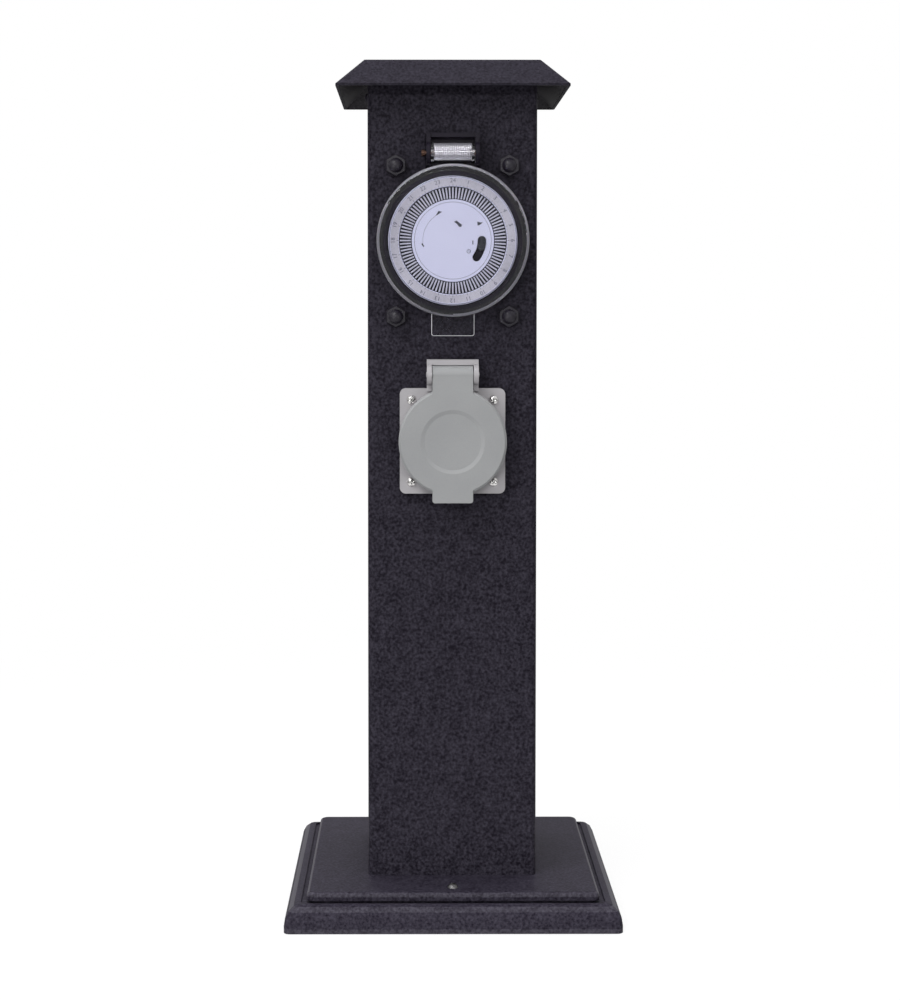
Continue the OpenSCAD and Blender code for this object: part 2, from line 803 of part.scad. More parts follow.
module terminal_block() {
  color(white) difference() {
    translate([-block_size[0] / 2, inside - block_size[1], block_low]) cube(block_size);
    for (k = [-1, 1])
      translate([(k * block_pitch - block_groove_w) / 2, inside - block_size[1] - cut, block_low - cut])
        cube([block_groove_w, block_groove_d + cut, block_size[2] + 2 * cut]);
    for (k = [-1 : 1], s = [-1, 1])
      translate([k * block_pitch, inside - block_size[1], block_z + s * block_screw_z])
        rotate([90, 0, 0]) rod(block_screw_r + slip, -block_screw_l, cut);
  }
}

module block_screws() {
  color(brass) for (k = [-1 : 1], s = [-1, 1])
    translate([k * block_pitch, inside - block_size[1], block_z + s * block_screw_z])
      rotate([90, 0, 0]) difference() {
        rod(block_screw_r, -block_screw_l, -block_screw_in);
        translate([0, 0, -block_screw_in]) cube([2 * block_screw_r, screw_slot_w, 1.2], center = true);
      }
}

module earth_stud() {
  color(brass) translate([0, inside, stud_z]) rotate([90, 0, 0]) rod(stud_r, 0, stud_l);
}

module earth_lug() {
  color(steel) translate([0, lug_y, stud_z]) rotate([90, 0, 0]) linear_extrude(lug_t) difference() {
    union() {
      circle(lug_r);
      translate([-lug_tongue[0] / 2, 0]) square(lug_tongue);
    }
    circle(stud_r + slip);
  }
}

module earth_nut() {
  color(brass) translate([0, inside, stud_z]) rotate([90, 0, 0]) {
    difference() {
      hex(stud_nut_af, 0, inside - lug_y);
      rod(stud_r + slip, -cut, stud_l);
    }
    difference() {
      hex(stud_nut_af, inside - lug_y + lug_t, inside - lug_y + lug_t + stud_nut_h);
      rod(stud_r + slip, -cut, stud_l + cut);
    }
  }
}

module wire(route, colour) {
  color(colour) tube_along(spline(route, wire_steps), route, wire_r, wire_sides, [1, 0.2, 0.1]);
}
module wire_line() wire(line_route, brown);
module wire_switched() wire(switched_route, black);
module wire_neutral() wire(neutral_route, blue);
module wire_timer() wire(timer_route, blue);
module wire_earth() wire(earth_route, green);
module wire_bond() wire(bond_route, green);

// Timer housing and what holds it

module hinge_ears() {
  for (s = [-1, 1]) translate([s * (hinge_w / 2 - ear_t / 2) - ear_t / 2, 0, 0]) {
    translate([0, hinge_low, deck_z]) cube([ear_t, hinge_top - hinge_low, lid_z - deck_z]);
    translate([0, pin_y, lid_z]) rotate([0, 90, 0]) cylinder(r = ear_nose_r, h = ear_t);
  }
  translate([-hinge_w / 2, hinge_low, deck_z]) cube([hinge_w, hinge_top - hinge_low, hinge_back - deck_z]);
  translate([-hinge_w / 2, hinge_top - ear_t, deck_z]) cube([hinge_w, ear_t, hinge_wall_z - deck_z]);
}

module timer_plate_outline() {
  translate([0, (timer_plate_top - timer_plate_low) / 2])
    rounded_square(timer_plate_w, timer_plate_top + timer_plate_low, plate_corner_r);
}

module timer_housing() {
  color(black) on_front(timer_z) difference() {
    union() {
      translate([0, 0, plate_back]) linear_extrude(timer_plate_t) timer_plate_outline();
      ring(collar_r, collar_in_r, deck_z - tiny, collar_h);
      rod(boss_r, deck_z - tiny, dial_carrier_z - loose);
      rod(hub_r - slip, deck_z, boss_z);
      hinge_ears();
    }
    ring(seal_out_r, seal_in_r, collar_h - seal_depth, collar_h + cut);
    ring(mode_r + mode_slot_w / 2 + mode_room, mode_r - mode_slot_w / 2 - mode_room,
         boss_z - slider_foot - mode_room, boss_z + cut);
    translate([0, pin_y, lid_z]) rotate([0, 90, 0]) rod(pin_r + tiny, -hinge_w, hinge_w);
    corners(timer_bolt_dx, timer_bolt_dy) rod(timer_bolt_r + loose, plate_back - cut, deck_z + cut);
    translate(pinion_at) rod(shaft_r + gap, plate_back - cut, deck_z + cut);
    translate(switch_at) rod(plunger_r + slip, plate_back - cut, deck_z + cut);
    round_pattern(movement_hole_r, 0) rod(movement_screw_r + slip, plate_back - cut, deck_z - screw_skin);
  }
}

module timer_gasket() {
  color(rubber) on_front(timer_z) translate([0, 0, deck_z]) linear_extrude(gasket_t) difference() {
    timer_plate_outline();
    circle(aperture_r);
    translate([-hinge_w / 2 - gap, 0]) square([hinge_w + 2 * gap, hinge_top + gap]);
    corners(timer_bolt_dx, timer_bolt_dy) circle(timer_bolt_r + loose);
  }
}

module timer_bolts() {
  color(steel) on_front(timer_z) corners(timer_bolt_dx, timer_bolt_dy) {
    hex(bolt_head_af, plate_back - bolt_head_h, plate_back);
    rod(timer_bolt_r, plate_back - cut, washer_t + dome_hex_h);
  }
}

module timer_washers() {
  color(black) on_front(timer_z) corners(timer_bolt_dx, timer_bolt_dy)
    ring(washer_r, timer_bolt_r + loose, 0, washer_t);
}

module timer_dome_nuts() {
  top = washer_t + dome_hex_h;
  color(black) on_front(timer_z) corners(timer_bolt_dx, timer_bolt_dy) difference() {
    union() {
      hex(dome_af, washer_t, top);
      rotate_extrude() intersection() {
        translate([0, top]) circle(dome_r);
        translate([0, top - tiny]) square(dome_r);
      }
    }
    rod(timer_bolt_r + slip, 0, top + gap);
  }
}

module movement_case() {
  color(dark) on_front(timer_z) difference() {
    translate([0, 0, movement_back]) linear_extrude(movement_d)
      rounded_square(movement_w, movement_w, plate_corner_r);
    translate(pinion_at) rod(shaft_r + slip, movement_back - cut, plate_back + cut);
    translate(switch_at) rod(plunger_r + slip, movement_back - cut, plate_back + cut);
    round_pattern(movement_hole_r, 0)
      rod(movement_screw_r + slip, movement_back - cut, plate_back + cut);
  }
}

module movement_screws() {
  color(steel) on_front(timer_z) round_pattern(movement_hole_r, 0) translate([0, 0, movement_back])
    mirror([0, 0, 1]) dome_screw(inner_head_r, inner_head_h, movement_screw_r, movement_screw_l);
}

module timer_motor() {
  color(steel) on_front(timer_z) translate(pinion_at) difference() {
    union() {
      rod(motor_r, movement_back - motor_d, movement_back - motor_step);
      rod(motor_r - motor_step, movement_back - motor_step - tiny, movement_back);
    }
    rod(shaft_r + slip, movement_back - shaft_depth - gap, movement_back + cut);
  }
}

module drive_pinion() {
  color(white) on_front(timer_z) translate(pinion_at) {
    translate([0, 0, gear_z + loose]) linear_extrude(pinion_h) rotate([0, 0, pinion_a])
      polygon(gear_outline(pinion_teeth, pinion_pitch_r - tooth_root, pinion_pitch_r + tooth_tip));
    rod(shaft_r, movement_back - shaft_depth, gear_z + loose + tiny);
  }
}

module timer_switch() {
  color(black) on_front(timer_z) difference() {
    translate(concat(switch_at, movement_back - switch_size[2] / 2)) cube(switch_size, center = true);
    translate(switch_at) rod(plunger_r + slip, movement_back - 2 * plunger_depth, movement_back + cut);
  }
}

module switch_plunger() {
  color(white) on_front(timer_z) translate(switch_at)
    rod(plunger_r, movement_back - plunger_depth, plunger_tip);
}

// Dial

module ring_gear() {
  p = 360 / ring_teeth;
  color(white) on_front(timer_z) translate([0, 0, gear_z]) linear_extrude(gear_h) difference() {
    circle(gear_rim_r, $fn = 4 * ring_teeth);
    rotate([0, 0, pinion_a + p / 2])
      polygon(gear_outline(ring_teeth, gear_pitch_r + tooth_root, gear_pitch_r - tooth_tip));
  }
}

module hour_ring() {
  top = gear_z + gear_h + hour_ring_h;
  color(white) on_front(timer_z) rotate_extrude() difference() {
    translate([ring_in_r, gear_z + gear_h]) square([hour_ring_w, hour_ring_h]);
    translate([dial_r, top]) rotate([0, 0, 45]) square(dial_bevel, center = true);
  }
}

module tappet_slot(width, from, to) {
  translate([from, -width / 2]) square([to - from, width]);
}

module tappet_carrier() {
  color(dark) on_front(timer_z) translate([0, 0, dial_carrier_z]) linear_extrude(dial_carrier_h)
    difference() {
      circle(ring_in_r - tiny);
      circle(hub_r);
      for (k = [0 : tappet_count - 1]) rotate([0, 0, k * tappet_step])
        tappet_slot(tappet_w + 2 * slip, tappet_in_r - slip, tappet_out_r + slip);
    }
}

module tappets(first, last) {
  color(white) on_front(timer_z) translate([0, 0, tappet_z]) for (k = [first : last])
    rotate([0, 0, k * tappet_step]) linear_extrude(tappet_h)
      tappet_slot(tappet_w, tappet_in_r, tappet_out_r);
}

module dial_tappets() {
  tappets(0, set_first - 1);
  tappets(set_last + 1, tappet_count - 1);
}

module set_tappets() {
  tappets(set_first, set_last);
}

module dial_centre() {
  color(white) on_front(timer_z) translate([0, 0, boss_z]) linear_extrude(centre_t) difference() {
    circle(centre_r);
    arc_slot(mode_r, mode_slot_w, mode_top_a - mode_sweep_a, mode_top_a);
  }
}

module mode_slider() {
  low = mode_top_a - slider_a;
  color(dark) on_front(timer_z) {
    translate([0, 0, boss_z - gap - slider_foot]) linear_extrude(slider_foot)
      arc_slot(mode_r, mode_slot_w + 2 * loose, low, mode_top_a);
    translate([0, 0, boss_z - gap - tiny]) linear_extrude(centre_t + gap + slider_rise)
      arc_slot(mode_r, mode_slot_w - 2 * loose, low, mode_top_a);
    for (a = [low + 2, low + slider_a / 2, mode_top_a - 2]) rotate([0, 0, a])
      translate([mode_r, 0, boss_z + centre_t + ridge_rise / 2])
        cube([mode_slot_w - 4 * loose, ridge_w, ridge_rise], center = true);
  }
}

// Clear lid

module lid_seal() {
  color(rubber) on_front(timer_z)
    ring(seal_out_r - slip, seal_in_r + slip, collar_h - seal_depth, lid_z - slip);
}

module timer_lid() {
  round_r = 1.5;
  front_z = lid_z + timer_lid_h;
  color(clear) on_front(timer_z) difference() {
    union() {
      rotate_extrude() difference() {
        union() {
          translate([0, lid_z]) square([timer_lid_r, timer_lid_h - round_r]);
          translate([0, front_z - round_r - tiny]) square([timer_lid_r - round_r, round_r + tiny]);
          translate([timer_lid_r - round_r, front_z - round_r]) circle(round_r);
        }
        translate([-cut, lid_z - cut])
          square([timer_lid_r - timer_rim_w + cut, timer_lid_h - timer_lid_t + cut]);
      }
      translate([-knuckle_half, timer_lid_r - timer_rim_w / 2, lid_z])
        cube([2 * knuckle_half, pin_y - timer_lid_r + timer_rim_w / 2, neck_t]);
      translate([0, pin_y, lid_z]) rotate([0, 90, 0]) rod(knuckle_r, -knuckle_half, knuckle_half);
      translate([0, -timer_lid_r - timer_tab_l / 2 + timer_rim_w / 2, lid_z + tab_step])
        linear_extrude(timer_tab_t) rounded_square(timer_tab_w, timer_tab_l + timer_rim_w, tab_corner_r);
    }
    translate([0, pin_y, lid_z]) spring_chamber(chamber_r, chamber_half, knuckle_r, hinge_w);
  }
}

module lid_pin() {
  color(copper) on_front(timer_z) translate([0, pin_y, lid_z]) rotate([0, 90, 0]) {
    rod(pin_r, -hinge_w / 2 - pin_tail, hinge_w / 2);
    rod(pin_head_r, -hinge_w / 2 - pin_tail, -hinge_w / 2 - pin_tail / 3);
  }
}

module lid_spring() {
  half = chamber_half - spring_wire;
  color(steel) on_front(timer_z) translate([0, pin_y, lid_z])
    coil(chamber_r - spring_room - spring_wire / 2, half, coil_turns(half), spring_wire);
}

// Socket

module hinge_box() {
  for (s = [-1, 1]) translate([s * (box_w / 2 - cheek_t / 2) - cheek_t / 2, 0, 0]) {
    translate([0, box_low, flange_z]) cube([cheek_t, box_top - box_low, socket_lid_z - flange_z]);
    translate([0, socket_pin_y, socket_lid_z]) rotate([0, 90, 0]) cylinder(r = socket_nose_r, h = cheek_t);
  }
  translate([-box_w / 2, box_low, flange_z]) cube([box_w, box_top - box_low, box_back_t]);
  translate([-box_w / 2, box_top - box_wall, flange_z]) cube([box_w, box_wall, socket_lid_z - flange_z]);
}

module socket_housing() {
  color(grey) on_front(socket_z) difference() {
    union() {
      translate([0, 0, flange_z]) linear_extrude(flange_t)
        rounded_square(socket_w, socket_w, socket_corner_r);
      rod(seat_r, flange_z, seat_z);
      rod(well_out_r, floor_back, flange_z + tiny);
      hinge_box();
    }
    difference() {
      rod(well_r, well_floor, seat_z + cut);
      for (s = [-1, 1]) translate([s * well_r - rib, -rib_w / 2, well_floor - cut])
        cube([2 * rib, rib_w, well_depth - rib_drop + cut]);
    }
    for (s = [-1, 1]) translate([s * contact_x, 0]) rod(plug_pin_r, floor_back - cut, well_floor + cut);
    clip_slots(floor_back - cut, well_floor + cut);
    corners(socket_screw_gap, socket_screw_gap) rod(socket_screw_r + loose, 0, flange_front + cut);
    translate([0, socket_pin_y, socket_lid_z]) rotate([0, 90, 0]) rod(pin_r + tiny, -box_w, box_w);
  }
}

module socket_gasket() {
  color(rubber) on_front(socket_z) linear_extrude(gasket_t) difference() {
    union() {
      rounded_square(socket_w - 2 * gasket_in, socket_w - 2 * gasket_in, socket_corner_r);
      translate([gasket_in - box_w / 2, 0]) square([box_w - 2 * gasket_in, box_top - gasket_in]);
    }
    circle(well_hole_r);
    corners(socket_screw_gap, socket_screw_gap) circle(socket_screw_r + loose);
  }
}

module socket_screws() {
  length = flange_front + post_wall + nut_h + 1;
  color(steel) on_front(socket_z) corners(socket_screw_gap, socket_screw_gap)
    translate([0, 0, flange_front]) dome_screw(socket_head_r, socket_head_h, socket_screw_r, length);
}

module socket_nuts() {
  color(steel) on_front(socket_z) corners(socket_screw_gap, socket_screw_gap) difference() {
    hex(nut_af, -post_wall - nut_h, -post_wall);
    rod(socket_screw_r + slip, -post_wall - nut_h - cut, cut);
  }
}

// The slots that hold the two earth clips, above and below the pins
module clip_slots(low, high) {
  for (s = [-1, 1]) translate([-clip_w / 2 - slip, s * clip_y - clip_t / 2 - loose, low])
    cube([clip_w + 2 * slip, clip_t + 2 * loose, high - low]);
}

module contact_carrier() {
  color(black) on_front(socket_z) difference() {
    rod(carrier_r, carrier_back, floor_back);
    for (s = [-1, 1]) translate([s * contact_x, 0])
      rod(contact_r + slip, floor_back - contact_l, floor_back + cut);
    clip_slots(floor_back - clip_root, floor_back + cut);
    round_pattern(carrier_hole_r, 45)
      rod(carrier_screw_r + slip, carrier_back - cut, carrier_back + carrier_screw_l + gap);
  }
}

module pin_contacts() {
  color(brass) on_front(socket_z) for (s = [-1, 1]) translate([s * contact_x, 0]) difference() {
    rod(contact_r, floor_back - contact_l, floor_back);
    rod(plug_pin_r - 2 * slip, floor_back - contact_l + contact_end, floor_back + cut);
    translate([-contact_slit_w / 2, -contact_r - cut, floor_back - contact_slit_l])
      cube([contact_slit_w, 2 * contact_r + 2 * cut, contact_slit_l + cut]);
  }
}

module earth_clips() {
  color(brass) on_front(socket_z) for (s = [-1, 1])
    translate([-clip_w / 2, s * clip_y - clip_t / 2, floor_back - clip_root])
      cube([clip_w, clip_t, clip_l]);
}

module carrier_screws() {
  color(steel) on_front(socket_z) round_pattern(carrier_hole_r, 45) translate([0, 0, carrier_back])
    mirror([0, 0, 1]) dome_screw(inner_head_r, inner_head_h, carrier_screw_r, carrier_screw_l);
}

module socket_lid() {
  front_z = socket_lid_z + socket_lid_t;
  tab_h = socket_tab_l + tab_root;
  color(grey) on_front(socket_z) difference() {
    union() {
      rotate_extrude() difference() {
        translate([0, socket_lid_z]) square([socket_lid_r, socket_lid_t]);
        translate([socket_lid_r, front_z]) rotate([0, 0, 45]) square(lid_bevel * sqrt(2), center = true);
        translate([-cut, front_z - badge_d]) square([badge_r + cut, cut]);
      }
      translate([-tongue_w / 2, socket_lid_r - 3, socket_lid_z])
        cube([tongue_w, socket_pin_y - socket_lid_r + 3, socket_lid_t]);
      translate([0, socket_pin_y, socket_lid_z]) rotate([0, 90, 0])
        rod(socket_knuckle_r, -tongue_w / 2, tongue_w / 2);
      translate([0, tab_root - socket_lid_r - tab_h / 2, socket_lid_z + tab_step])
        linear_extrude(socket_lid_t - tab_step) rounded_square(socket_tab_w, tab_h, tab_corner_r);
    }
    ring(lid_seal_out_r, lid_seal_in_r, socket_lid_z - cut, socket_lid_z + lid_seal_t - lid_seal_drop);
    translate([0, socket_pin_y, socket_lid_z])
      spring_chamber(socket_chamber_r, socket_chamber_half, socket_knuckle_r, box_w);
  }
}

module socket_lid_seal() {
  color(rubber) on_front(socket_z)
    ring(lid_seal_out_r, lid_seal_in_r, socket_lid_z - lid_seal_drop,
         socket_lid_z + lid_seal_t - lid_seal_drop);
}

module socket_lid_pin() {
  color(steel) on_front(socket_z) translate([0, socket_pin_y, socket_lid_z]) rotate([0, 90, 0])
    rod(pin_r, -box_w / 2 - gap, box_w / 2 + gap);
}

module socket_lid_spring() {
  half = socket_chamber_half - spring_wire;
  color(steel) on_front(socket_z) translate([0, socket_pin_y, socket_lid_z])
    coil(socket_chamber_r - spring_room - spring_wire / 2, half, coil_turns(half), spring_wire);
}

base_plinth();
foot_strap();
foot_plate();
foot_bolts();
base_screws();
post_tube();
cap_roof();
cap_bracket();
cap_screws();
gland_body();
gland_cap();
gland_seal();
gland_locknut();
terminal_block();
block_screws();
earth_stud();
earth_nut();
earth_lug();
wire_line();
wire_switched();
wire_neutral();
wire_timer();
wire_earth();
wire_bond();
timer_housing();
timer_gasket();
timer_bolts();
timer_washers();
timer_dome_nuts();
movement_case();
movement_screws();
timer_motor();
drive_pinion();
timer_switch();
switch_plunger();
ring_gear();
hour_ring();
tappet_carrier();
dial_tappets();
set_tappets();
dial_centre();
mode_slider();
lid_seal();
timer_lid();
lid_pin();
lid_spring();
socket_housing();
socket_gasket();
socket_screws();
socket_nuts();
contact_carrier();
pin_contacts();
earth_clips();
carrier_screws();
socket_lid();
socket_lid_seal();
socket_lid_pin();
socket_lid_spring();
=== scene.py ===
import json
import math

import bpy
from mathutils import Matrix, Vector

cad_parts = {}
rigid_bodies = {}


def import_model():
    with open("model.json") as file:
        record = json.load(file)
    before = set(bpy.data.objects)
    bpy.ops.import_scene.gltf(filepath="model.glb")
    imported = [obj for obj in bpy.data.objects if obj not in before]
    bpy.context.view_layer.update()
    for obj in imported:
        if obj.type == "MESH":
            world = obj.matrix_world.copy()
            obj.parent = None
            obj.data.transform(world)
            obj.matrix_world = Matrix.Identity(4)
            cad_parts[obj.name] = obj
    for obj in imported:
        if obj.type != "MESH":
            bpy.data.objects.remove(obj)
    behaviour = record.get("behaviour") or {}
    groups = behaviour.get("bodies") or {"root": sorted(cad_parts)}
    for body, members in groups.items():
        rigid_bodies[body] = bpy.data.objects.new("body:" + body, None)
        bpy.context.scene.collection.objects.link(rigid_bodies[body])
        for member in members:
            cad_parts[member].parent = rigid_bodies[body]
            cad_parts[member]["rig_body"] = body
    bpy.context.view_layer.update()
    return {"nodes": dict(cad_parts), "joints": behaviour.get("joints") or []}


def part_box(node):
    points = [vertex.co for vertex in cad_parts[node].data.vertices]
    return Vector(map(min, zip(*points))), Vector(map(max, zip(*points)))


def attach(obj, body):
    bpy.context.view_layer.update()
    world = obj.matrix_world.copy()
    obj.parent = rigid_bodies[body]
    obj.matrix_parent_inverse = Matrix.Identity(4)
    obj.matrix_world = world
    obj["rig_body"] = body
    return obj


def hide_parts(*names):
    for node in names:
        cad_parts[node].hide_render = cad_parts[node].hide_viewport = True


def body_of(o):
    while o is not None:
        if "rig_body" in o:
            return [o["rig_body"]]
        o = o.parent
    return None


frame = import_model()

# The garden socket post: eased copies of its painted and moulded pieces, the print on its dial,
# the springs, the wires and the cross-head screws, with a finish for every node that shows.

nodes = frame["nodes"]
slot_of = {name: node.data.materials[0].name for name, node in nodes.items()}

joint_at = {joint["name"]: joint.get("pos_m") for joint in frame["joints"]}
screws_low, screws_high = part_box("socket_screws")

# Places in metres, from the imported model's joints and boxes; a box is its lowest and highest corner
TIMER_PIN = Vector(joint_at["timer_lid_hinge"])
SOCKET_PIN = Vector(joint_at["plug_lid_hinge"])
DIAL_Z = joint_at["dial_turn"][2]
SOCKET_Z = (screws_low.z + screws_high.z) / 2
HOUR_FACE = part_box("hour_ring")[0].y
CENTRE_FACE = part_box("dial_centre")[0].y
LID_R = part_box("timer_lid")[1].x
SOCKET_SCREW_TOP = screws_low.y
BASE_SCREW_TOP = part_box("base_screws")[1].z

# Sizes in metres; MM is one millimetre
MM = 0.001

# Lids of the socket and the timer
DISH_R = 15 * MM
DISH_BAND = 0.2 * MM
DISH_RIM_Y = -53.0 * MM
DISH_DRAW = 0.88
RIM_W = 1.3 * MM
ROUNDING_Y = -55.2 * MM
TAB_FRONT = -52.7 * MM
TAB_HALF_W = 9.9 * MM
TAB_ROUNDING = 0.9 * MM
BARREL_REACH = 3.65 * MM

# Plinth and cap
LIP_Z = 2.2 * MM
PLATE_Z = 12.3 * MM
CAP_FILM_Z = 389.958 * MM
FILM_BAND = 0.01 * MM

# Screws and wires
SOCKET_SCREW_OUT = 19.3 * MM
BASE_SCREW_OUT = 59 * MM
RECESS_TAPER = 0.6
WIRE_R = 1.1 * MM

# Print on the dial; the marks' places are in mm, right of and above its centre
INK = 0.025 * MM
HOURS = 24
TAPPETS = 96
TAPPETS_PER_HOUR = TAPPETS // HOURS
NUMERAL_R = 27.8 * MM
NUMERAL_SIZE = 2.8 * MM
OUTER_LINE_R = 29.6 * MM
CENTRE_LINE_R = 17.9 * MM
TURN_ARC_R = 14.0 * MM
TICK_FOOT = (0, 25.3)
ON_MARK = (9.3, -0.9)
CLOCK = (7.4, -5.0)
CLOCK_R = 0.85 * MM

# Depth of the paint's stipple and of finer grain
PAINT_RELIEF = 0.3 * MM
FINE_RELIEF = 0.1 * MM

# Reach of the welds and selections
WELD = 2e-6
SPIN_WELD = 1e-6
FLAT_ANGLE = math.radians(0.2)
SAME = 0.02 * MM
SLACK = 0.1 * MM


# Tools

def deselect():
    bpy.ops.object.select_all(action="DESELECT")


def only(piece):
    deselect()
    piece.select_set(True)
    bpy.context.view_layer.objects.active = piece


def edit(piece):
    only(piece)
    bpy.ops.object.mode_set(mode="EDIT")
    bpy.ops.mesh.select_all(action="SELECT")


def close():
    bpy.ops.object.mode_set(mode="OBJECT")


def added(name):
    """The piece that the last operator added, under its own name."""
    piece = bpy.context.view_layer.objects.active
    piece.name = piece.data.name = name
    return piece


def settle(piece):
    """Puts a piece's place, turn and scale into its mesh."""
    only(piece)
    bpy.ops.object.transform_apply(location=True, rotation=True, scale=True)


def work(piece, kind, **values):
    """Adds a modifier with these values and applies it."""
    only(piece)
    modifier = piece.modifiers.new(kind.lower(), kind)
    for name, value in values.items():
        setattr(modifier, name, value)
    bpy.ops.object.modifier_apply(modifier=modifier.name)


def smooth(piece, angle=32):
    only(piece)
    bpy.ops.object.shade_smooth_by_angle(angle=math.radians(angle))


def tidy_mesh(piece):
    """Closes a mesh's seams, takes out the walls that a spin leaves inside and turns every face outwards."""
    edit(piece)
    bpy.ops.mesh.remove_doubles(threshold=SPIN_WELD)
    bpy.ops.mesh.select_all(action="DESELECT")
    bpy.ops.mesh.select_interior_faces()
    bpy.ops.mesh.delete(type="ONLY_FACE")
    bpy.ops.mesh.select_all(action="SELECT")
    bpy.ops.mesh.normals_make_consistent(inside=False)
    close()


def copied(piece):
    """A copy of a piece with a mesh of its own."""
    only(piece)
    bpy.ops.object.duplicate(linked=False)
    return bpy.context.view_layer.objects.active


def join(pieces, name):
    deselect()
    for piece in pieces:
        piece.select_set(True)
    bpy.context.view_layer.objects.active = pieces[0]
    bpy.ops.object.join()
    return added(name)


def dress(piece, body, finish_name, *replaced):
    """Gives a piece its finish, the body that it rides on and the nodes that it stands for."""
    piece.data.materials.clear()
    piece.data.materials.append(FINISHES[finish_name])
    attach(piece, body)
    if replaced:
        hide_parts(*replaced)


def merged(node, name):
    """A copy of a node's mesh with its loose triangles joined and its flat faces made whole."""
    piece = bpy.data.objects.new(name, nodes[node].data.copy())
    piece.data.name = name
    bpy.context.scene.collection.objects.link(piece)
    only(piece)
    bpy.ops.mesh.customdata_custom_splitnormals_clear()
    edit(piece)
    bpy.ops.mesh.remove_doubles(threshold=WELD)
    bpy.ops.mesh.dissolve_limited(angle_limit=FLAT_ANGLE)
    close()
    return piece


def eased(node, width, segments=3, angle=38, finish_name=None, more_finishes=(), prepare=None):
    """A merged copy of a node with its sharp edges rounded; the roundings take the last further finish."""
    piece = merged(node, node + "_eased")
    dress(piece, body_of(nodes[node])[0], finish_name or slot_of[node], node)
    for further in more_finishes:
        piece.data.materials.append(FINISHES[further])
    if prepare:
        prepare(piece)
    if width:
        work(piece, "BEVEL", width=width, segments=segments, limit_method="ANGLE",
             angle_limit=math.radians(angle), use_clamp_overlap=True, miter_outer="MITER_ARC",
             material=len(more_finishes) or -1)
    smooth(piece)
    work(piece, "WEIGHTED_NORMAL", weight=80, keep_sharp=True)


# Shader groups

def add(tree, kind, inputs=(), **options):
    """A new shader node with these input values and options."""
    node = tree.nodes.new("ShaderNode" + kind)
    for name, value in options.items():
        setattr(node, name, value)
    for name, value in dict(inputs).items():
        node.inputs[name].default_value = value
    return node


def group(name, inputs, outputs):
    """A shader group; an input is a name and its first value, which is None for a vector."""
    tree = bpy.data.node_groups.new(name, "ShaderNodeTree")
    for label, value in inputs:
        kind = "NodeSocketVector" if value is None else "NodeSocketFloat"
        socket = tree.interface.new_socket(label, in_out="INPUT", socket_type=kind)
        if value is not None:
            socket.default_value = value
    for label in outputs:
        tree.interface.new_socket(label, in_out="OUTPUT", socket_type="NodeSocketFloat")
    return tree, tree.nodes.new("NodeGroupInput"), tree.nodes.new("NodeGroupOutput")


def hammered_skin():
    """The close stipple of a hammered paint, and the tone that it gives the colour."""
    tree, given, out = group("hammered_skin", [("Vector", None), ("Stipple", 720.0)], ["Height", "Tone"])
    link = tree.links.new
    stipple = add(tree, "TexNoise", {"Detail": 2.6, "Roughness": 0.58})
    broad = add(tree, "TexNoise", {"Scale": 170.0, "Detail": 4.0, "Roughness": 0.6})
    for source in (stipple, broad):
        link(given.outputs["Vector"], source.inputs["Vector"])
    link(given.outputs["Stipple"], stipple.inputs["Scale"])
    link(stipple.outputs["Fac"], out.inputs["Height"])
    part = add(tree, "Math", {1: 0.24}, operation="MULTIPLY")
    total = add(tree, "Math", {1: 0.76}, operation="MULTIPLY_ADD")
    link(broad.outputs["Fac"], part.inputs[0])
    link(stipple.outputs["Fac"], total.inputs[0])
    link(part.outputs[0], total.inputs[2])
    link(total.outputs[0], out.inputs["Tone"])
    return tree


def mould_grain():
    """The fine spark-eroded grain of moulded plastic, and a slow unevenness of its colour."""
    tree, given, out = group("mould_grain", [("Vector", None), ("Grain", 2600.0)], ["Height", "Tone"])
    link = tree.links.new
    grain = add(tree, "TexNoise", {"Detail": 2.0, "Roughness": 0.6})
    cloud = add(tree, "TexNoise", {"Scale": 45.0, "Detail": 3.0})
    link(given.outputs["Vector"], grain.inputs["Vector"])
    link(given.outputs["Vector"], cloud.inputs["Vector"])
    link(given.outputs["Grain"], grain.inputs["Scale"])
    link(grain.outputs["Fac"], out.inputs["Height"])
    part = add(tree, "Math", {1: 0.35}, operation="MULTIPLY")
    total = add(tree, "Math", {1: 0.65}, operation="MULTIPLY_ADD")
    link(grain.outputs["Fac"], part.inputs[0])
    link(cloud.outputs["Fac"], total.inputs[0])
    link(part.outputs[0], total.inputs[2])
    link(total.outputs[0], out.inputs["Tone"])
    return tree


def drawn_metal():
    """Long scratches along X and blotches of plating."""
    tree, given, out = group("drawn_metal", [("Vector", None), ("Scratch", 900.0)], ["Height", "Tone"])
    link = tree.links.new
    along = add(tree, "VectorMath", operation="MULTIPLY")
    along.inputs[1].default_value = (0.05, 1.0, 1.0)
    scratch = add(tree, "TexNoise", {"Detail": 3.0, "Roughness": 0.65})
    blotch = add(tree, "TexNoise", {"Scale": 320.0, "Detail": 3.0})
    link(given.outputs["Vector"], along.inputs[0])
    link(along.outputs[0], scratch.inputs["Vector"])
    link(given.outputs["Scratch"], scratch.inputs["Scale"])
    link(given.outputs["Vector"], blotch.inputs["Vector"])
    link(scratch.outputs["Fac"], out.inputs["Height"])
    half = add(tree, "Math", {1: 0.5}, operation="MULTIPLY")
    total = add(tree, "Math", {1: 0.5}, operation="MULTIPLY_ADD")
    link(scratch.outputs["Fac"], half.inputs[0])
    link(blotch.outputs["Fac"], total.inputs[0])
    link(half.outputs[0], total.inputs[2])
    link(total.outputs[0], out.inputs["Tone"])
    return tree


HAMMERED = hammered_skin()
GRAIN = mould_grain()
DRAWN = drawn_metal()


# Finishes

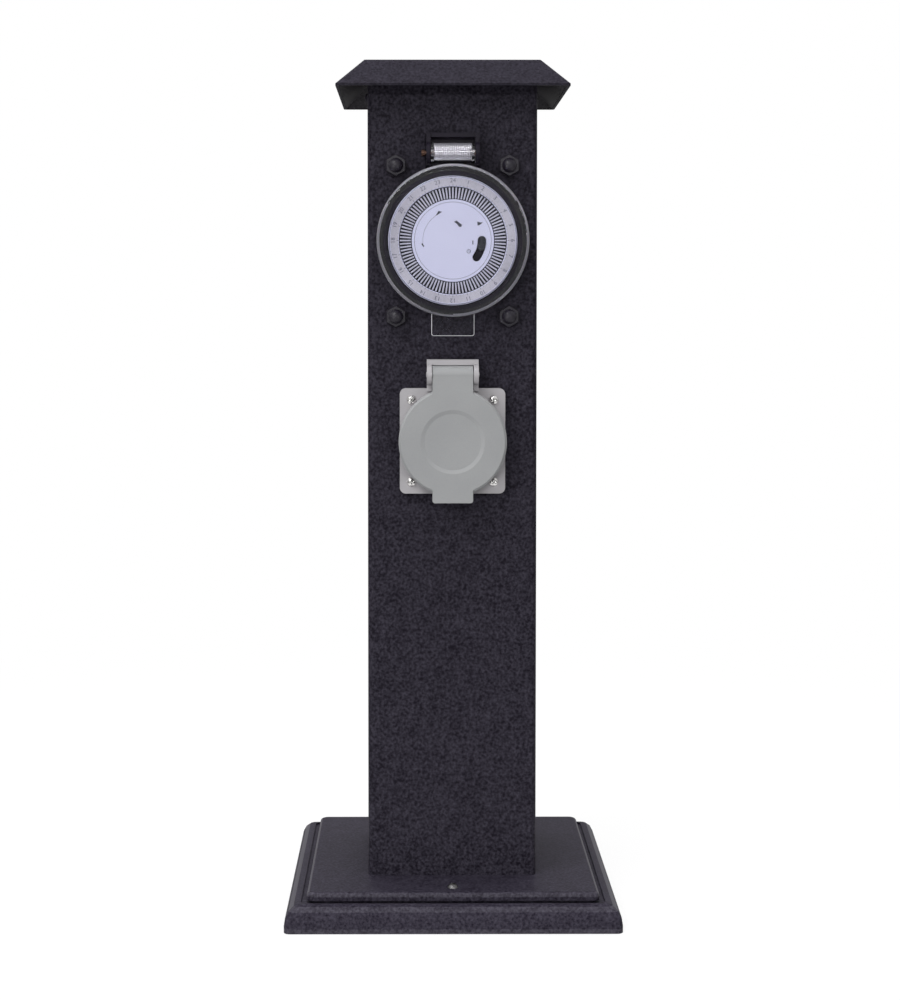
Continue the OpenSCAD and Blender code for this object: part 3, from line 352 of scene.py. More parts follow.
def finish(name, tree, scale, dark, light, rough, bump, depth=FINE_RELIEF, tone=(0.3, 0.7), **constants):
    """A surface whose colour, roughness and relief come from one of the shader groups."""
    surface = bpy.data.materials.new(name)
    surface.use_nodes = True
    net = surface.node_tree
    link = net.links.new
    shader = net.nodes["Principled BSDF"]
    for label, value in constants.items():
        shader.inputs[label.replace("_", " ")].default_value = value
    where = add(net, "TexCoord")
    effect = add(net, "Group", node_tree=tree)
    effect.inputs[1].default_value = scale
    link(where.outputs["Object"], effect.inputs["Vector"])
    colour = add(net, "ValToRGB")
    for stop, place, value in zip(colour.color_ramp.elements, tone, (dark, light)):
        stop.position = place
        stop.color = (*value, 1.0)
    link(effect.outputs["Tone"], colour.inputs["Fac"])
    spread = add(net, "MapRange",
                 {"From Min": 0.25, "From Max": 0.75, "To Min": rough[0], "To Max": rough[1]})
    link(effect.outputs["Tone"], spread.inputs["Value"])
    relief = add(net, "Bump", {"Strength": bump, "Distance": depth})
    link(effect.outputs["Height"], relief.inputs["Height"])
    link(relief.outputs["Normal"], shader.inputs["Normal"])
    link(colour.outputs["Color"], shader.inputs["Base Color"])
    link(spread.outputs["Result"], shader.inputs["Roughness"])
    return surface


def clear_plastic():
    """Clear moulded plastic with a slight ripple; light passes it, so that the dial below is lit."""
    surface = bpy.data.materials.new("clear_lid_plastic")
    surface.use_nodes = True
    net = surface.node_tree
    link = net.links.new
    shader = net.nodes["Principled BSDF"]
    shader.inputs["Base Color"].default_value = (0.97, 0.97, 0.985, 1.0)
    shader.inputs["Transmission Weight"].default_value = 1.0
    shader.inputs["IOR"].default_value = 1.49
    shader.inputs["Specular IOR Level"].default_value = 0.3
    where = add(net, "TexCoord")
    ripple = add(net, "TexNoise", {"Scale": 90.0, "Detail": 2.0})
    relief = add(net, "Bump", {"Strength": 0.06, "Distance": 0.0004})
    haze = add(net, "MapRange", {"From Min": 0.3, "From Max": 0.7, "To Min": 0.01, "To Max": 0.03})
    link(where.outputs["Object"], ripple.inputs["Vector"])
    link(ripple.outputs["Fac"], relief.inputs["Height"])
    link(ripple.outputs["Fac"], haze.inputs["Value"])
    link(relief.outputs["Normal"], shader.inputs["Normal"])
    link(haze.outputs["Result"], shader.inputs["Roughness"])
    ray = add(net, "LightPath")
    through = add(net, "BsdfTransparent", {"Color": (0.94, 0.94, 0.95, 1.0)})
    passing = add(net, "Math", operation="MAXIMUM")
    pick = add(net, "MixShader")
    link(ray.outputs["Is Shadow Ray"], passing.inputs[0])
    link(ray.outputs["Is Diffuse Ray"], passing.inputs[1])
    link(passing.outputs[0], pick.inputs["Fac"])
    link(shader.outputs["BSDF"], pick.inputs[1])
    link(through.outputs["BSDF"], pick.inputs[2])
    link(pick.outputs["Shader"], net.nodes["Material Output"].inputs["Surface"])
    return surface


FINISHES = {
    "hammered_paint": finish("dark_hammered_paint", HAMMERED, 720.0, (0.004, 0.0026, 0.0068),
                             (0.0425, 0.0383, 0.053), (0.5, 0.68), 0.3, PAINT_RELIEF, tone=(0.37, 0.69),
                             Specular_IOR_Level=0.1),
    "base_paint": finish("calm_base_paint", HAMMERED, 760.0, (0.008, 0.006, 0.0118),
                         (0.048, 0.0435, 0.06), (0.5, 0.68), 0.3, PAINT_RELIEF, tone=(0.34, 0.72),
                         Specular_IOR_Level=0.06),
    # Painted highlight: a lighter, glossier copy of the base paint for the plinth's lip, crests and rounded
    # edges
    "edge_highlight_paint": finish("base_edges_painted_highlight", HAMMERED, 760.0, (0.014, 0.0115, 0.019),
                         (0.062, 0.057, 0.075), (0.4, 0.55), 0.3, PAINT_RELIEF, tone=(0.34, 0.72),
                         Specular_IOR_Level=0.15),
    # Painted shade: a darker copy of the hammered paint for the cap, which holds down the light on its
    # upward slopes
    "cap_paint_painted_shade": finish("calm_cap_paint", HAMMERED, 760.0, (0.0055, 0.0042, 0.0083),
                        (0.0305, 0.0275, 0.039), (0.5, 0.68), 0.25, PAINT_RELIEF, tone=(0.34, 0.74),
                        Specular_IOR_Level=0.1),
    # Painted light: a lighter copy of the cap paint for the downward faces of the cap's hollow, standing in
    # for light from below
    "cap_hollow_painted_light": finish("lightened_paint_in_cap_hollow", HAMMERED, 760.0, (0.0125, 0.0105, 0.0145),
                         (0.073, 0.067, 0.077), (0.45, 0.6), 0.25, PAINT_RELIEF, tone=(0.34, 0.74),
                         Specular_IOR_Level=0.2),
    "zinc_steel": finish("zinc_plated_steel", DRAWN, 900.0, (0.36, 0.36, 0.37), (0.62, 0.62, 0.64),
                         (0.22, 0.42), 0.08, Metallic=1.0),
    "bright_screw": finish("bright_screw_steel", DRAWN, 1400.0, (0.62, 0.61, 0.6), (0.9, 0.89, 0.88),
                           (0.16, 0.3), 0.06, Metallic=1.0),
    "dull_screw": finish("weathered_screw_steel", DRAWN, 1400.0, (0.1, 0.098, 0.1), (0.2, 0.195, 0.2),
                         (0.35, 0.5), 0.1, Metallic=1.0),
    "black_plastic": finish("black_timer_plastic", GRAIN, 2600.0, (0.0075, 0.0058, 0.0112),
                            (0.015, 0.0122, 0.0205), (0.4, 0.52), 0.12, Specular_IOR_Level=0.14),
    # Painted light: a lighter copy of the grey socket plastic, which lifts the flange out of the shade that
    # its lid casts; its warmer hue is its own
    "flange_plastic_painted_light": finish("grey_flange_plastic", GRAIN, 2200.0, (0.352, 0.34, 0.355),
                             (0.408, 0.395, 0.411), (0.42, 0.54), 0.1, Specular_IOR_Level=0.35),
    "nut_plastic": finish("black_nut_plastic", GRAIN, 2600.0, (0.0075, 0.0058, 0.0112),
                          (0.015, 0.0122, 0.0205), (0.42, 0.5), 0.12, Specular_IOR_Level=0.4),
    "grey_plastic": finish("grey_socket_plastic", GRAIN, 2200.0, (0.278, 0.283, 0.29),
                           (0.32, 0.325, 0.33), (0.42, 0.54), 0.1, Specular_IOR_Level=0.35),
    "white_plastic": finish("lilac_dial_plastic", GRAIN, 2400.0, (0.622, 0.632, 0.815),
                            (0.665, 0.675, 0.858), (0.4, 0.5), 0.06, Specular_IOR_Level=0.3),
    "tappets": finish("grey_tappet_plastic", GRAIN, 1600.0, (0.47, 0.47, 0.58), (0.55, 0.55, 0.66),
                      (0.4, 0.55), 0.06, Specular_IOR_Level=0.3),
    "hour_ring": finish("grey_hour_ring", GRAIN, 900.0, (0.37, 0.36, 0.42), (0.57, 0.56, 0.64),
                        (0.4, 0.55), 0.06, Specular_IOR_Level=0.3),
    "dark_plastic": finish("dark_movement_plastic", GRAIN, 2600.0, (0.012, 0.013, 0.018),
                           (0.022, 0.024, 0.032), (0.4, 0.55), 0.1, Specular_IOR_Level=0.3),
    "clear_plastic": clear_plastic(),
    "clear_edge": finish("frosted_lid_edge", GRAIN, 2600.0, (0.8, 0.8, 0.84), (0.92, 0.92, 0.96),
                         (0.3, 0.42), 0.1, Transmission_Weight=0.25),
    "clear_barrel": finish("hazy_hinge_barrel", GRAIN, 2600.0, (0.76, 0.75, 0.84), (0.88, 0.87, 0.96),
                           (0.2, 0.3), 0.1, Transmission_Weight=0.75),
    "clear_rim": finish("hazy_lid_rim", GRAIN, 2600.0, (0.74, 0.72, 0.86), (0.86, 0.84, 0.98),
                        (0.32, 0.42), 0.1, Transmission_Weight=0.87),
    "rubber": finish("gasket_rubber", GRAIN, 1800.0, (0.012, 0.012, 0.013), (0.026, 0.026, 0.027),
                     (0.65, 0.85), 0.2, Specular_IOR_Level=0.25),
    "brass": finish("contact_brass", DRAWN, 1100.0, (0.58, 0.39, 0.13), (0.78, 0.56, 0.22),
                    (0.2, 0.38), 0.06, Metallic=1.0),
    "bronze_pin": finish("bronze_hinge_pin", DRAWN, 1200.0, (0.06, 0.034, 0.026), (0.12, 0.072, 0.055),
                         (0.3, 0.45), 0.08, Metallic=1.0),
    "dial_print": finish("grey_dial_print", GRAIN, 2000.0, (0.06, 0.065, 0.1), (0.1, 0.105, 0.15),
                         (0.5, 0.6), 0.05),
    "dial_ink": finish("dark_dial_ink", GRAIN, 2000.0, (0.018, 0.02, 0.035), (0.04, 0.042, 0.06),
                       (0.5, 0.6), 0.05),
}
for colour, dark, light in (("brown", (0.07, 0.028, 0.012), (0.1, 0.042, 0.02)),
                            ("black", (0.008, 0.008, 0.009), (0.016, 0.016, 0.018)),
                            ("blue", (0.012, 0.05, 0.24), (0.02, 0.08, 0.34)),
                            ("green", (0.05, 0.16, 0.02), (0.09, 0.24, 0.03))):
    FINISHES["wire_" + colour] = finish(colour + "_wire_sheath", GRAIN, 1500.0, dark, light,
                                        (0.4, 0.52), 0.05)


# Stage

SKY_FILL = 0.3
CAMERA_PLACE = (-0.0169, -0.9471, 0.2858)
CAMERA_TILT = math.radians(90 - 2.385)
CAMERA_TURN = math.radians(-0.263)
CAMERA_LENS = 69.15
CAMERA_SENSOR = 36.0
CAMERA_SHIFT = (0.0246, -0.11)
CAMERA_NEAR = 0.01
FLOOR_SIZE = 14.0
FLOOR_Z = -0.2 * MM


def camera():
    """The photograph's viewpoint and framing."""
    bpy.ops.object.camera_add(location=CAMERA_PLACE, rotation=(CAMERA_TILT, 0, CAMERA_TURN))
    eye = added("photo_camera")
    eye.data.lens = CAMERA_LENS
    eye.data.sensor_width = CAMERA_SENSOR
    eye.data.shift_x, eye.data.shift_y = CAMERA_SHIFT
    eye.data.clip_start = CAMERA_NEAR
    bpy.context.scene.camera = eye


def background_ray(net):
    """1 for the rays that show the floor as background: camera, glossy and transmission rays."""
    ray = add(net, "LightPath")
    first = add(net, "Math", operation="MAXIMUM")
    second = add(net, "Math", operation="MAXIMUM")
    net.links.new(ray.outputs["Is Camera Ray"], first.inputs[0])
    net.links.new(ray.outputs["Is Glossy Ray"], first.inputs[1])
    net.links.new(first.outputs[0], second.inputs[0])
    net.links.new(ray.outputs["Is Transmission Ray"], second.inputs[1])
    return second.outputs[0]


def floor():
    """A pale floor that the camera, gloss and glass see as near white, with a soft shadow by the object."""
    deselect()
    bpy.ops.mesh.primitive_plane_add(size=FLOOR_SIZE, location=(0, 0, FLOOR_Z))
    ground = added("studio_floor")
    settle(ground)
    surface = bpy.data.materials.new("pale_floor")
    surface.use_nodes = True
    net = surface.node_tree
    link = net.links.new
    matt = net.nodes["Principled BSDF"]
    matt.inputs["Roughness"].default_value = 0.9
    matt.inputs["Specular IOR Level"].default_value = 0.1
    seen = background_ray(net)
    where = add(net, "TexCoord")
    away = add(net, "VectorMath", operation="LENGTH")
    link(where.outputs["Object"], away.inputs[0])
    bounce = add(net, "MapRange", {"From Min": 0.1, "From Max": 0.24, "To Min": 0.7, "To Max": 0.06},
                 interpolation_type="SMOOTHSTEP")
    tone = add(net, "MapRange", {"To Max": 0.85})
    share = add(net, "MapRange", {"From Min": 0.12, "From Max": 0.7, "To Min": 0.84, "To Max": 1.0},
                interpolation_type="SMOOTHSTEP")
    mirrored = add(net, "MapRange", {"From Min": 0.2, "From Max": 0.8, "To Min": 0.9, "To Max": 0.25})
    for spread in (bounce, share, mirrored):
        link(away.outputs["Value"], spread.inputs["Value"])
    link(seen, tone.inputs["Value"])
    link(bounce.outputs["Result"], tone.inputs["To Min"])
    link(tone.outputs["Result"], matt.inputs["Base Color"])
    white = add(net, "Math", operation="MULTIPLY")
    glow = add(net, "Emission", {"Color": (1, 1, 1, 1)})
    strength = add(net, "MapRange", {"To Min": 1.0})
    ray = add(net, "LightPath")
    mix = add(net, "MixShader")
    link(share.outputs["Result"], white.inputs[0])
    link(seen, white.inputs[1])
    link(ray.outputs["Is Glossy Ray"], strength.inputs["Value"])
    link(mirrored.outputs["Result"], strength.inputs["To Max"])
    link(strength.outputs["Result"], glow.inputs["Strength"])
    link(white.outputs[0], mix.inputs["Fac"])
    link(matt.outputs["BSDF"], mix.inputs[1])
    link(glow.outputs["Emission"], mix.inputs[2])
    link(mix.outputs["Shader"], net.nodes["Material Output"].inputs["Surface"])
    ground.data.materials.append(surface)


def sky():
    """White behind and above; gloss and glass meet a dim front, as on the camera's side of a studio."""
    world = bpy.data.worlds.new("white_studio")
    bpy.context.scene.world = world
    world.use_nodes = True
    net = world.node_tree
    light = net.nodes["Background"]
    light.inputs["Color"].default_value = (1, 1, 1, 1)
    link = net.links.new
    where = add(net, "TexCoord")
    mirrored = add(net, "MapRange", {"From Min": -0.45, "From Max": 0.8, "To Min": 0.04, "To Max": 1.0})
    behind = add(net, "MapRange", {"From Min": -0.5, "From Max": 0.2, "To Min": 0.1, "To Max": 1.0})
    for spread, bright_side in ((mirrored, (0, 0.5, 0.87)), (behind, (0, 1, 0))):
        facing = add(net, "VectorMath", operation="DOT_PRODUCT")
        facing.inputs[1].default_value = bright_side
        link(where.outputs["Generated"], facing.inputs[0])
        link(facing.outputs["Value"], spread.inputs["Value"])
    ray = add(net, "LightPath")
    strength = SKY_FILL
    for flag, value in (("Is Glossy Ray", mirrored.outputs["Result"]),
                        ("Is Transmission Ray", behind.outputs["Result"]),
                        ("Is Camera Ray", 1.0)):
        pick = add(net, "MapRange")
        link(ray.outputs[flag], pick.inputs["Value"])
        for socket, source in (("To Min", strength), ("To Max", value)):
            if isinstance(source, float):
                pick.inputs[socket].default_value = source
            else:
                link(source, pick.inputs[socket])
        strength = pick.outputs["Result"]
    link(strength, light.inputs["Strength"])


def lamp(name, place, target, size, power, mirrored=True):
    """A rectangular softbox that points at its target."""
    deselect()
    bpy.ops.object.light_add(type="AREA", location=place)
    light = added(name)
    light.rotation_euler = (Vector(target) - Vector(place)).to_track_quat("-Z", "Y").to_euler()
    light.data.shape = "RECTANGLE"
    light.data.size, light.data.size_y = size
    light.data.energy = power
    light.visible_glossy = mirrored


bpy.context.scene.view_settings.view_transform = "Standard"
deselect()
camera()
floor()
sky()
lamp("top_softbox", (0.0, 0.1, 2.4), (0, 0, 0.2), (1.5, 1.5), 58.0, mirrored=False)
lamp("key_softbox", (-0.8, -0.95, 1.4), (0, 0, 0.22), (0.8, 0.8), 13.0)
lamp("front_strip", (0, -1.2, 0.6), (0, 0, 0.25), (1.2, 0.1), 3.8)
lamp("left_fill", (-0.55, -0.75, 0.1), (0, 0, 0.06), (0.5, 0.2), 2.2)
lamp("right_fill", (0.6, -0.75, 0.1), (0, 0, 0.06), (0.5, 0.2), 1.3)


# Painted and moulded pieces

def pick_points(piece, wanted):
    """Opens a piece with the points selected that the rule wants."""
    edit(piece)
    bpy.ops.mesh.select_all(action="DESELECT")
    close()
    for point in piece.data.vertices:
        point.select = wanted(point.co)
    bpy.ops.object.mode_set(mode="EDIT")


def soft_dish(lid):
    """Draws the bottom of the lid's round recess inwards, so that its wall becomes a gentle slope."""
    pick_points(lid, lambda p: abs(math.hypot(p.x, p.z - SOCKET_Z) - DISH_R) < DISH_BAND
                and p.y > DISH_RIM_Y + SLACK)
    bpy.ops.transform.resize(value=(DISH_DRAW, 1.0, DISH_DRAW), center_override=(0, DISH_RIM_Y, SOCKET_Z))
    bpy.ops.mesh.select_more()
    bpy.ops.mesh.mark_sharp()
    close()


def frosted_lid(lid):
    """Rounds the tab's front edges widely, and makes the rim and the bore of the hinge barrel hazy."""
    def off_axis(p):
        return math.hypot(p.x, p.z - DIAL_Z)

    def off_pin(p):
        return math.hypot(p.y - TIMER_PIN.y, p.z - TIMER_PIN.z)

    pick_points(lid, lambda p: abs(p.y - TAB_FRONT) < SAME
                and (off_axis(p) > LID_R + SLACK or abs(p.x) > TAB_HALF_W))
    bpy.ops.mesh.bevel(offset=TAB_ROUNDING, segments=4, affect="EDGES", clamp_overlap=True, material=1)
    close()
    for face in lid.data.polygons:
        corners = [lid.data.vertices[index].co for index in face.vertices]
        if all(off_pin(p) < BARREL_REACH for p in corners):
            face.material_index = 2
        elif all(p.y < ROUNDING_Y and off_axis(p) > LID_R - RIM_W for p in corners):
            face.material_index = 3


def worn_edges(base):
    """Splits off a low lip round the foot and gives it, the crests and the plate's rounded edges a lighter
    paint: a painted highlight along them.
    """
    edit(base)
    bpy.ops.mesh.bisect(plane_co=(0, 0, LIP_Z), plane_no=(0, 0, 1))
    close()
    for face in base.data.polygons:
        rise = face.normal.z
        lip = face.center.z < LIP_Z and rise > -0.5
        crest = 0.74 < rise < 0.93
        plate_edge = face.center.z > PLATE_Z and 0.1 < rise < 0.96
        if lip or crest or plate_edge:
            face.material_index = 1


def open_underside(cap):
    """Takes out the film across the cap's hollow, closes its corners and gives the hollow's downward faces a
    lighter paint: painted light, as if bounced up from below.
    """
    edit(cap)
    bpy.ops.mesh.select_all(action="DESELECT")
    close()
    for face in cap.data.polygons:
        level = abs(face.normal.z) > 0.9
        face.select = level and abs(face.center.z - CAP_FILM_Z) < FILM_BAND
    bpy.ops.object.mode_set(mode="EDIT")
    bpy.ops.mesh.delete(type="FACE")
    bpy.ops.mesh.select_all(action="DESELECT")
    bpy.ops.mesh.select_non_manifold()
    bpy.ops.mesh.fill_holes(sides=0)
    close()
    # The hollow's downward faces take the lighter paint: painted light
    for face in cap.data.polygons:
        faces_down = face.normal.z < -0.2
        if faces_down and face.center.z > CAP_FILM_Z:
            face.material_index = 1


# The plinth's roundings, lip and crests take the lighter paint: a painted highlight along its edges
eased("base_plinth", 0.3 * MM, finish_name="base_paint", more_finishes=("edge_highlight_paint",), prepare=worn_edges)
eased("post_tube", 0.25 * MM, segments=2)
# The cap's outside and roundings take the darker copy of the paint, a painted shade; its hollow takes the
# painted light
eased("cap_roof", 0.4 * MM, angle=20, finish_name="cap_paint_painted_shade", more_finishes=("cap_hollow_painted_light", "cap_paint_painted_shade"),
      prepare=open_underside)
eased("timer_housing", 0.3 * MM)
eased("timer_lid", 0, more_finishes=("clear_edge", "clear_barrel", "clear_rim"), prepare=frosted_lid)
# The flange takes the lightened grey: painted light against the lid's shadow
eased("socket_housing", 0.35 * MM, finish_name="flange_plastic_painted_light")
eased("socket_lid", 0.4 * MM, prepare=soft_dish)
eased("timer_dome_nuts", 0.2 * MM, segments=2, finish_name="nut_plastic")
eased("timer_washers", 0.2 * MM, segments=2)
# The hour ring's roundings take the white dial plastic: a painted highlight round its edges
eased("hour_ring", 0.35 * MM, segments=2, finish_name="hour_ring", more_finishes=("white_plastic",))
eased("dial_centre", 0.2 * MM, segments=2)
eased("dial_tappets", 0.1 * MM, segments=2, finish_name="tappets")
eased("set_tappets", 0.1 * MM, segments=2, finish_name="tappets")
eased("mode_slider", 0.12 * MM, segments=2)
eased("gland_body", 0.3 * MM, segments=2)
eased("gland_cap", 0.4 * MM, segments=2)
eased("cap_screws", 0.15 * MM, segments=2)


# Cross-head screws

def recess_bar(arm, slot_w, deep):
    """One bar of a cross recess, which narrows downwards."""
    deselect()
    bpy.ops.mesh.primitive_cube_add(size=1.0)
    bar = added("recess_bar")
    bar.scale = (2 * arm, slot_w, 2 * deep)
    settle(bar)
    pick_points(bar, lambda p: p.z < 0)
    bpy.ops.transform.resize(value=(RECESS_TAPER, RECESS_TAPER, 1.0))
    close()
    return bar


def cross_head(node, finish_name, heads, turn_of, arm, slot_w, deep):
    """A merged copy of dome screws with a cross recess cut into each head; heads are (point, axis)."""
    piece = merged(node, node + "_cross")
    pattern = recess_bar(arm, slot_w, deep)
    for quarter in (0, 90):
        bars = []
        for index, (point, axis) in enumerate(heads):
            bar = copied(pattern)
            bar.rotation_euler = (0, 0, math.radians(turn_of[index] + quarter))
            settle(bar)
            bar.rotation_euler = Vector(axis).to_track_quat("Z", "Y").to_euler()
            bar.location = point
            settle(bar)
            bars.append(bar)
        cutter = join(bars, "recess_bars")
        work(piece, "BOOLEAN", operation="DIFFERENCE", solver="EXACT", object=cutter)
        bpy.data.objects.remove(cutter)
    bpy.data.objects.remove(pattern)
    smooth(piece)
    dress(piece, body_of(nodes[node])[0], finish_name, node)


cross_head("socket_screws", "bright_screw",
           [((x * SOCKET_SCREW_OUT, SOCKET_SCREW_TOP, SOCKET_Z + z * SOCKET_SCREW_OUT), (0, -1, 0))
            for x in (-1, 1) for z in (-1, 1)],
           turn_of=(12, 38, 62, 21), arm=1.7 * MM, slot_w=0.8 * MM, deep=1.1 * MM)
cross_head("base_screws", "dull_screw",
           [((0, y * BASE_SCREW_OUT, BASE_SCREW_TOP), (0, 0, 1)) for y in (-1, 1)],
           turn_of=(20, 55), arm=1.5 * MM, slot_w=0.65 * MM, deep=1.1 * MM)


# Springs in the hinges

def spring(name, node, finish_name, centre, radius, half, turns, wire):
    """A round wire wound along the hinge pin, for half its length to each side of the centre."""
    deselect()
    bpy.ops.mesh.primitive_circle_add(vertices=14, radius=wire / 2, rotation=(math.pi / 2, 0, 0))
    coil = added(name)
    settle(coil)
    edit(coil)
    bpy.ops.transform.translate(value=(-half, 0, radius))
    close()
    work(coil, "SCREW", axis="X", angle=2 * math.pi, screw_offset=2 * half / turns, iterations=turns,
         steps=36, render_steps=36, use_merge_vertices=False)
    edit(coil)
    bpy.ops.mesh.select_all(action="DESELECT")
    bpy.ops.mesh.select_non_manifold()
    bpy.ops.mesh.fill_holes(sides=0)
    bpy.ops.mesh.select_all(action="SELECT")
    bpy.ops.mesh.normals_make_consistent(inside=False)
    close()
    coil.location = centre
    settle(coil)
    smooth(coil, 50)
    dress(coil, body_of(nodes[node])[0], finish_name, node)


spring("timer_hinge_coil", "lid_spring", "bright_screw", TIMER_PIN,
       radius=2.9 * MM, half=8.2 * MM, turns=16, wire=0.9 * MM)
spring("socket_hinge_coil", "socket_lid_spring", "zinc_steel", SOCKET_PIN,
       radius=2.4 * MM, half=5.0 * MM, turns=9, wire=0.9 * MM)


# Wires inside the post

ROUTES = {
    "wire_line": [(11, 30, 117), (11, 30, 135), (13.8, 28.2, 200.2), (19.8, 24, 272.2),
                  (22.9442, 13.8, 318.805), (22.9442, 1.5, 330.805), (22.9442, -4.5, 330.805)],
    "wire_switched": [(13.3442, -4.5, 330.805), (13.3442, 1.5, 330.805), (12, 15, 309.1),
                      (10.2, 16.8, 270.1), (9.5, 12, 236.2), (9.5, 0, 224.2), (9.5, -6, 224.2)],
    "wire_neutral": [(-9, 30, 117), (-9, 30, 135), (-10.2, 25.8, 182.2), (-9.5, 16.2, 212.2),
                     (-9.5, 0, 224.2), (-9.5, -6, 224.2)],
    "wire_timer": [(-13.2, 30, 117), (-13.8, 30, 135), (-22.2, 28.8, 200.2), (-22.2, 25.8, 260.2),
                   (-16.891, 13.8, 289.209), (-16.891, -0.5, 301.209), (-16.891, -6.5, 301.209)],
    "wire_earth": [(0, 30, 117), (0, 30, 135), (0, 25.8, 176.2), (0, 13.8, 200.2), (0, 0, 212.2),
                   (0, -6, 212.2)],
    "wire_bond": [(0, 31.8, 103), (0, 31.8, 98.8), (0, 33, 96.8), (0, 33, 92)],
}


def wire(node, route):
    """A smooth sheathed wire through the route's points."""
    points = [Vector(p) * MM for p in route]
    deselect()
    bpy.ops.curve.primitive_bezier_curve_add()
    sheath = added(node + "_sheath")
    line = sheath.data.splines[0]
    line.bezier_points.add(len(points) - 2)
    for index, (knot, point) in enumerate(zip(line.bezier_points, points)):
        reach = (points[min(index + 1, len(points) - 1)] - points[max(index - 1, 0)]) / 6
        knot.handle_left_type = knot.handle_right_type = "FREE"
        knot.co, knot.handle_left, knot.handle_right = point, point - reach, point + reach
    sheath.data.dimensions = "3D"
    sheath.data.resolution_u = 10
    sheath.data.bevel_depth = WIRE_R
    sheath.data.bevel_resolution = 3
    sheath.data.use_fill_caps = True
    only(sheath)
    bpy.ops.object.convert(target="MESH")
    sheath = added(node + "_sheath")
    settle(sheath)
    tidy_mesh(sheath)
    smooth(sheath, 50)
    dress(sheath, "post", slot_of[node], node)


for node, route in ROUTES.items():
    wire(node, route)


# Print on the dial

def spun_strip(name, face, radius, width, steps, start=0, sweep=360):
    """A printed arc or ring round the dial's centre; angles run clockwise from the top."""
    deselect()
    bpy.ops.mesh.primitive_plane_add(size=1.0, location=(0, face, DIAL_Z + radius),
                                     rotation=(0, math.pi / 2, 0))
    strip = added(name)
    strip.scale = (width, 2 * INK, 1.0)
    settle(strip)
    edit(strip)
    bpy.ops.transform.rotate(value=-math.radians(start), orient_axis="Y", center_override=(0, face, DIAL_Z))
    bpy.ops.mesh.spin(steps=steps, angle=math.radians(sweep), center=(0, face, DIAL_Z), axis=(0, -1, 0))
    close()
    tidy_mesh(strip)
    return strip


def mark(name, corners, place, face):
    """A small printed shape with these corners, in mm, about a place on the dial."""
    deselect()
    bpy.ops.mesh.primitive_circle_add(vertices=len(corners), radius=MM, fill_type="NGON",
                                      location=(place[0] * MM, face + INK, DIAL_Z + place[1] * MM),
                                      rotation=(math.pi / 2, 0, 0))
    shape = added(name)
    for vertex, (x, y) in zip(shape.data.vertices, corners):
        vertex.co = (x * MM, y * MM, 0)
    settle(shape)
    edit(shape)
    bpy.ops.mesh.extrude_region_move(TRANSFORM_OT_translate={"value": (0, -2 * INK, 0)})
    bpy.ops.mesh.select_all(action="SELECT")
    bpy.ops.mesh.normals_make_consistent(inside=False)
    close()
    return shape


def numeral(text, size, radius, angle, face):
    """A printed number whose foot points at the dial's centre."""
    deselect()
    turn = math.radians(angle)
    bpy.ops.object.text_add(location=(radius * math.sin(turn), face, DIAL_Z + radius * math.cos(turn)),
                            rotation=(math.pi / 2, turn, 0))
    label = added("numeral")
    label.data.body = text
    label.data.size = size
    label.data.align_x, label.data.align_y = "CENTER", "CENTER"
    label.data.extrude = INK
    label.data.resolution_u = 3
    bpy.ops.object.convert(target="MESH")
    label = added("numeral")
    settle(label)
    tidy_mesh(label)
    return label


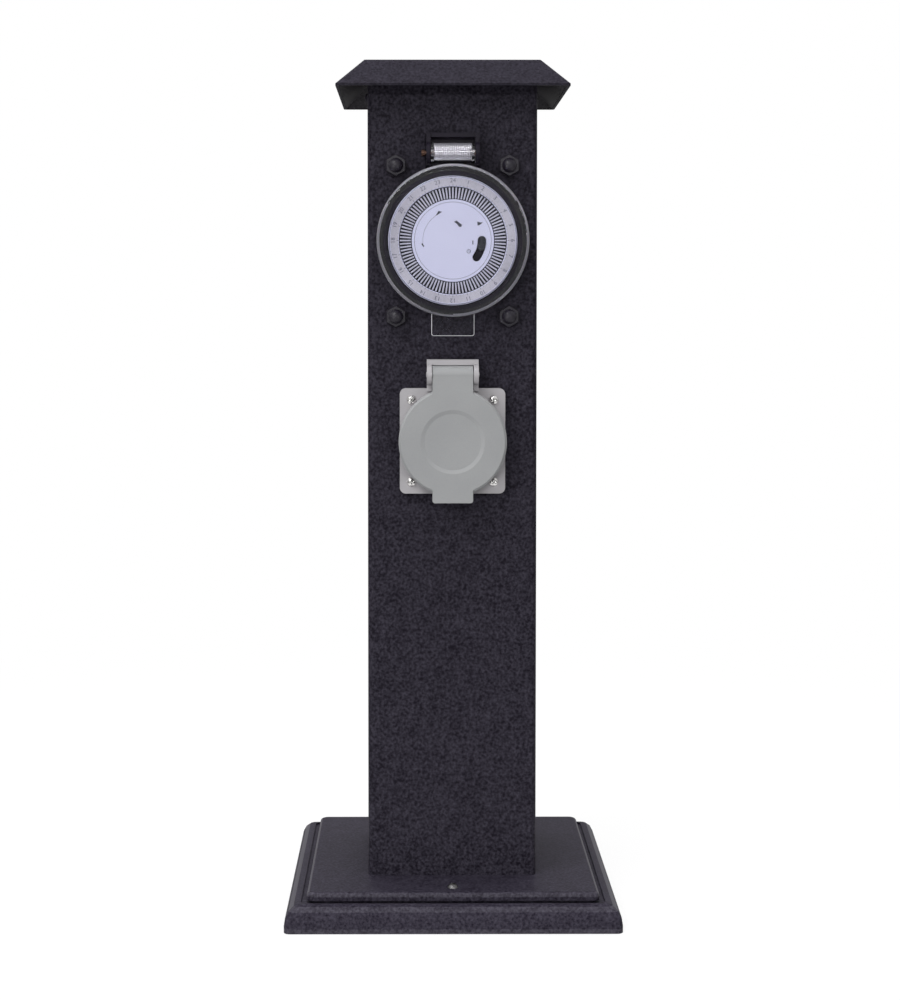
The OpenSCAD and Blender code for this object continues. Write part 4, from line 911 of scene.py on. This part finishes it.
def hour_print():
    """Hours 1 to 24 and their ticks on the turning ring, with a thin line round them."""
    prints = [numeral(str(hour), NUMERAL_SIZE, NUMERAL_R, hour * 360 / HOURS, HOUR_FACE)
              for hour in range(1, HOURS + 1)]
    whole_hours = range(0, TAPPETS, TAPPETS_PER_HOUR)
    between = [step for step in range(TAPPETS) if step % TAPPETS_PER_HOUR]
    for length, side, steps in ((1.0, 0.1, whole_hours), (0.55, 0.07, between)):
        corners = [(-side, 0), (side, 0), (side, length), (-side, length)]
        tick = mark("tick", corners, TICK_FOOT, HOUR_FACE)
        for step in steps:
            twin = copied(tick)
            edit(twin)
            bpy.ops.transform.rotate(value=-math.radians(step * 360 / TAPPETS), orient_axis="Y",
                                     center_override=(0, HOUR_FACE, DIAL_Z))
            close()
            prints.append(twin)
        bpy.data.objects.remove(tick)
    prints.append(spun_strip("outer_line", HOUR_FACE, OUTER_LINE_R, width=0.2 * MM, steps=160))
    piece = join(prints, "hour_print")
    dress(piece, "dial", "dial_print")


def centre_print():
    """The faint ring, the arrow that shows which way the dial turns, and the marks by the slider."""
    faint = [spun_strip("centre_line", CENTRE_FACE, CENTRE_LINE_R, width=0.16 * MM, steps=128),
             spun_strip("turn_arc", CENTRE_FACE, TURN_ARC_R, width=0.12 * MM, steps=24, start=-96, sweep=66)]
    on_corners = [(-0.25, -0.9), (0.25, -0.9), (0.25, 0.9), (-0.25, 0.9)]
    faint.append(mark("on_mark", on_corners, ON_MARK, CENTRE_FACE))
    clock = spun_strip("clock_ring", CENTRE_FACE, CLOCK_R, width=0.25 * MM, steps=32)
    edit(clock)
    bpy.ops.transform.translate(value=(CLOCK[0] * MM, 0, CLOCK[1] * MM))
    close()
    hands = mark("clock_hands",
                 [(-0.1, -0.1), (0.55, -0.1), (0.55, 0.12), (0.12, 0.12), (0.12, 0.6), (-0.1, 0.6)],
                 CLOCK, CENTRE_FACE)
    piece = join(faint + [clock, hands], "centre_print")
    dress(piece, "post", "dial_print")
    dark_shapes = {
        "turn_head": ([(-1.7, -1.3), (1.5, 0.75), (-0.3, 1.15), (-0.75, 0.2)], (-6.5, 12.6)),
        "turn_tail": ([(-0.35, 1.0), (-0.75, 0.4), (0.25, -1.0), (0.6, -0.5)], (-13.9, -2.1)),
        "time_pointer": ([(-1.9, 1.0), (-0.7, 1.6), (1.9, -0.4), (1.5, -1.4), (0.4, -1.3), (-0.4, -0.1)],
                         (2.4, 7.7)),
        "mode_pointer": ([(-1.0, -0.9), (0.1, -0.5), (1.5, 0.7), (0.4, 0.6), (-1.2, 1.0)], (12.5, 7.8)),
    }
    dark = [mark(name, corners, place, CENTRE_FACE) for name, (corners, place) in dark_shapes.items()]
    piece = join(dark, "centre_marks")
    dress(piece, "post", "dial_ink")


hour_print()
centre_print()


# Finishes for the nodes that stay

for name, node in nodes.items():
    if not node.hide_render:
        for holder in node.material_slots:
            holder.material = FINISHES[slot_of[name]]
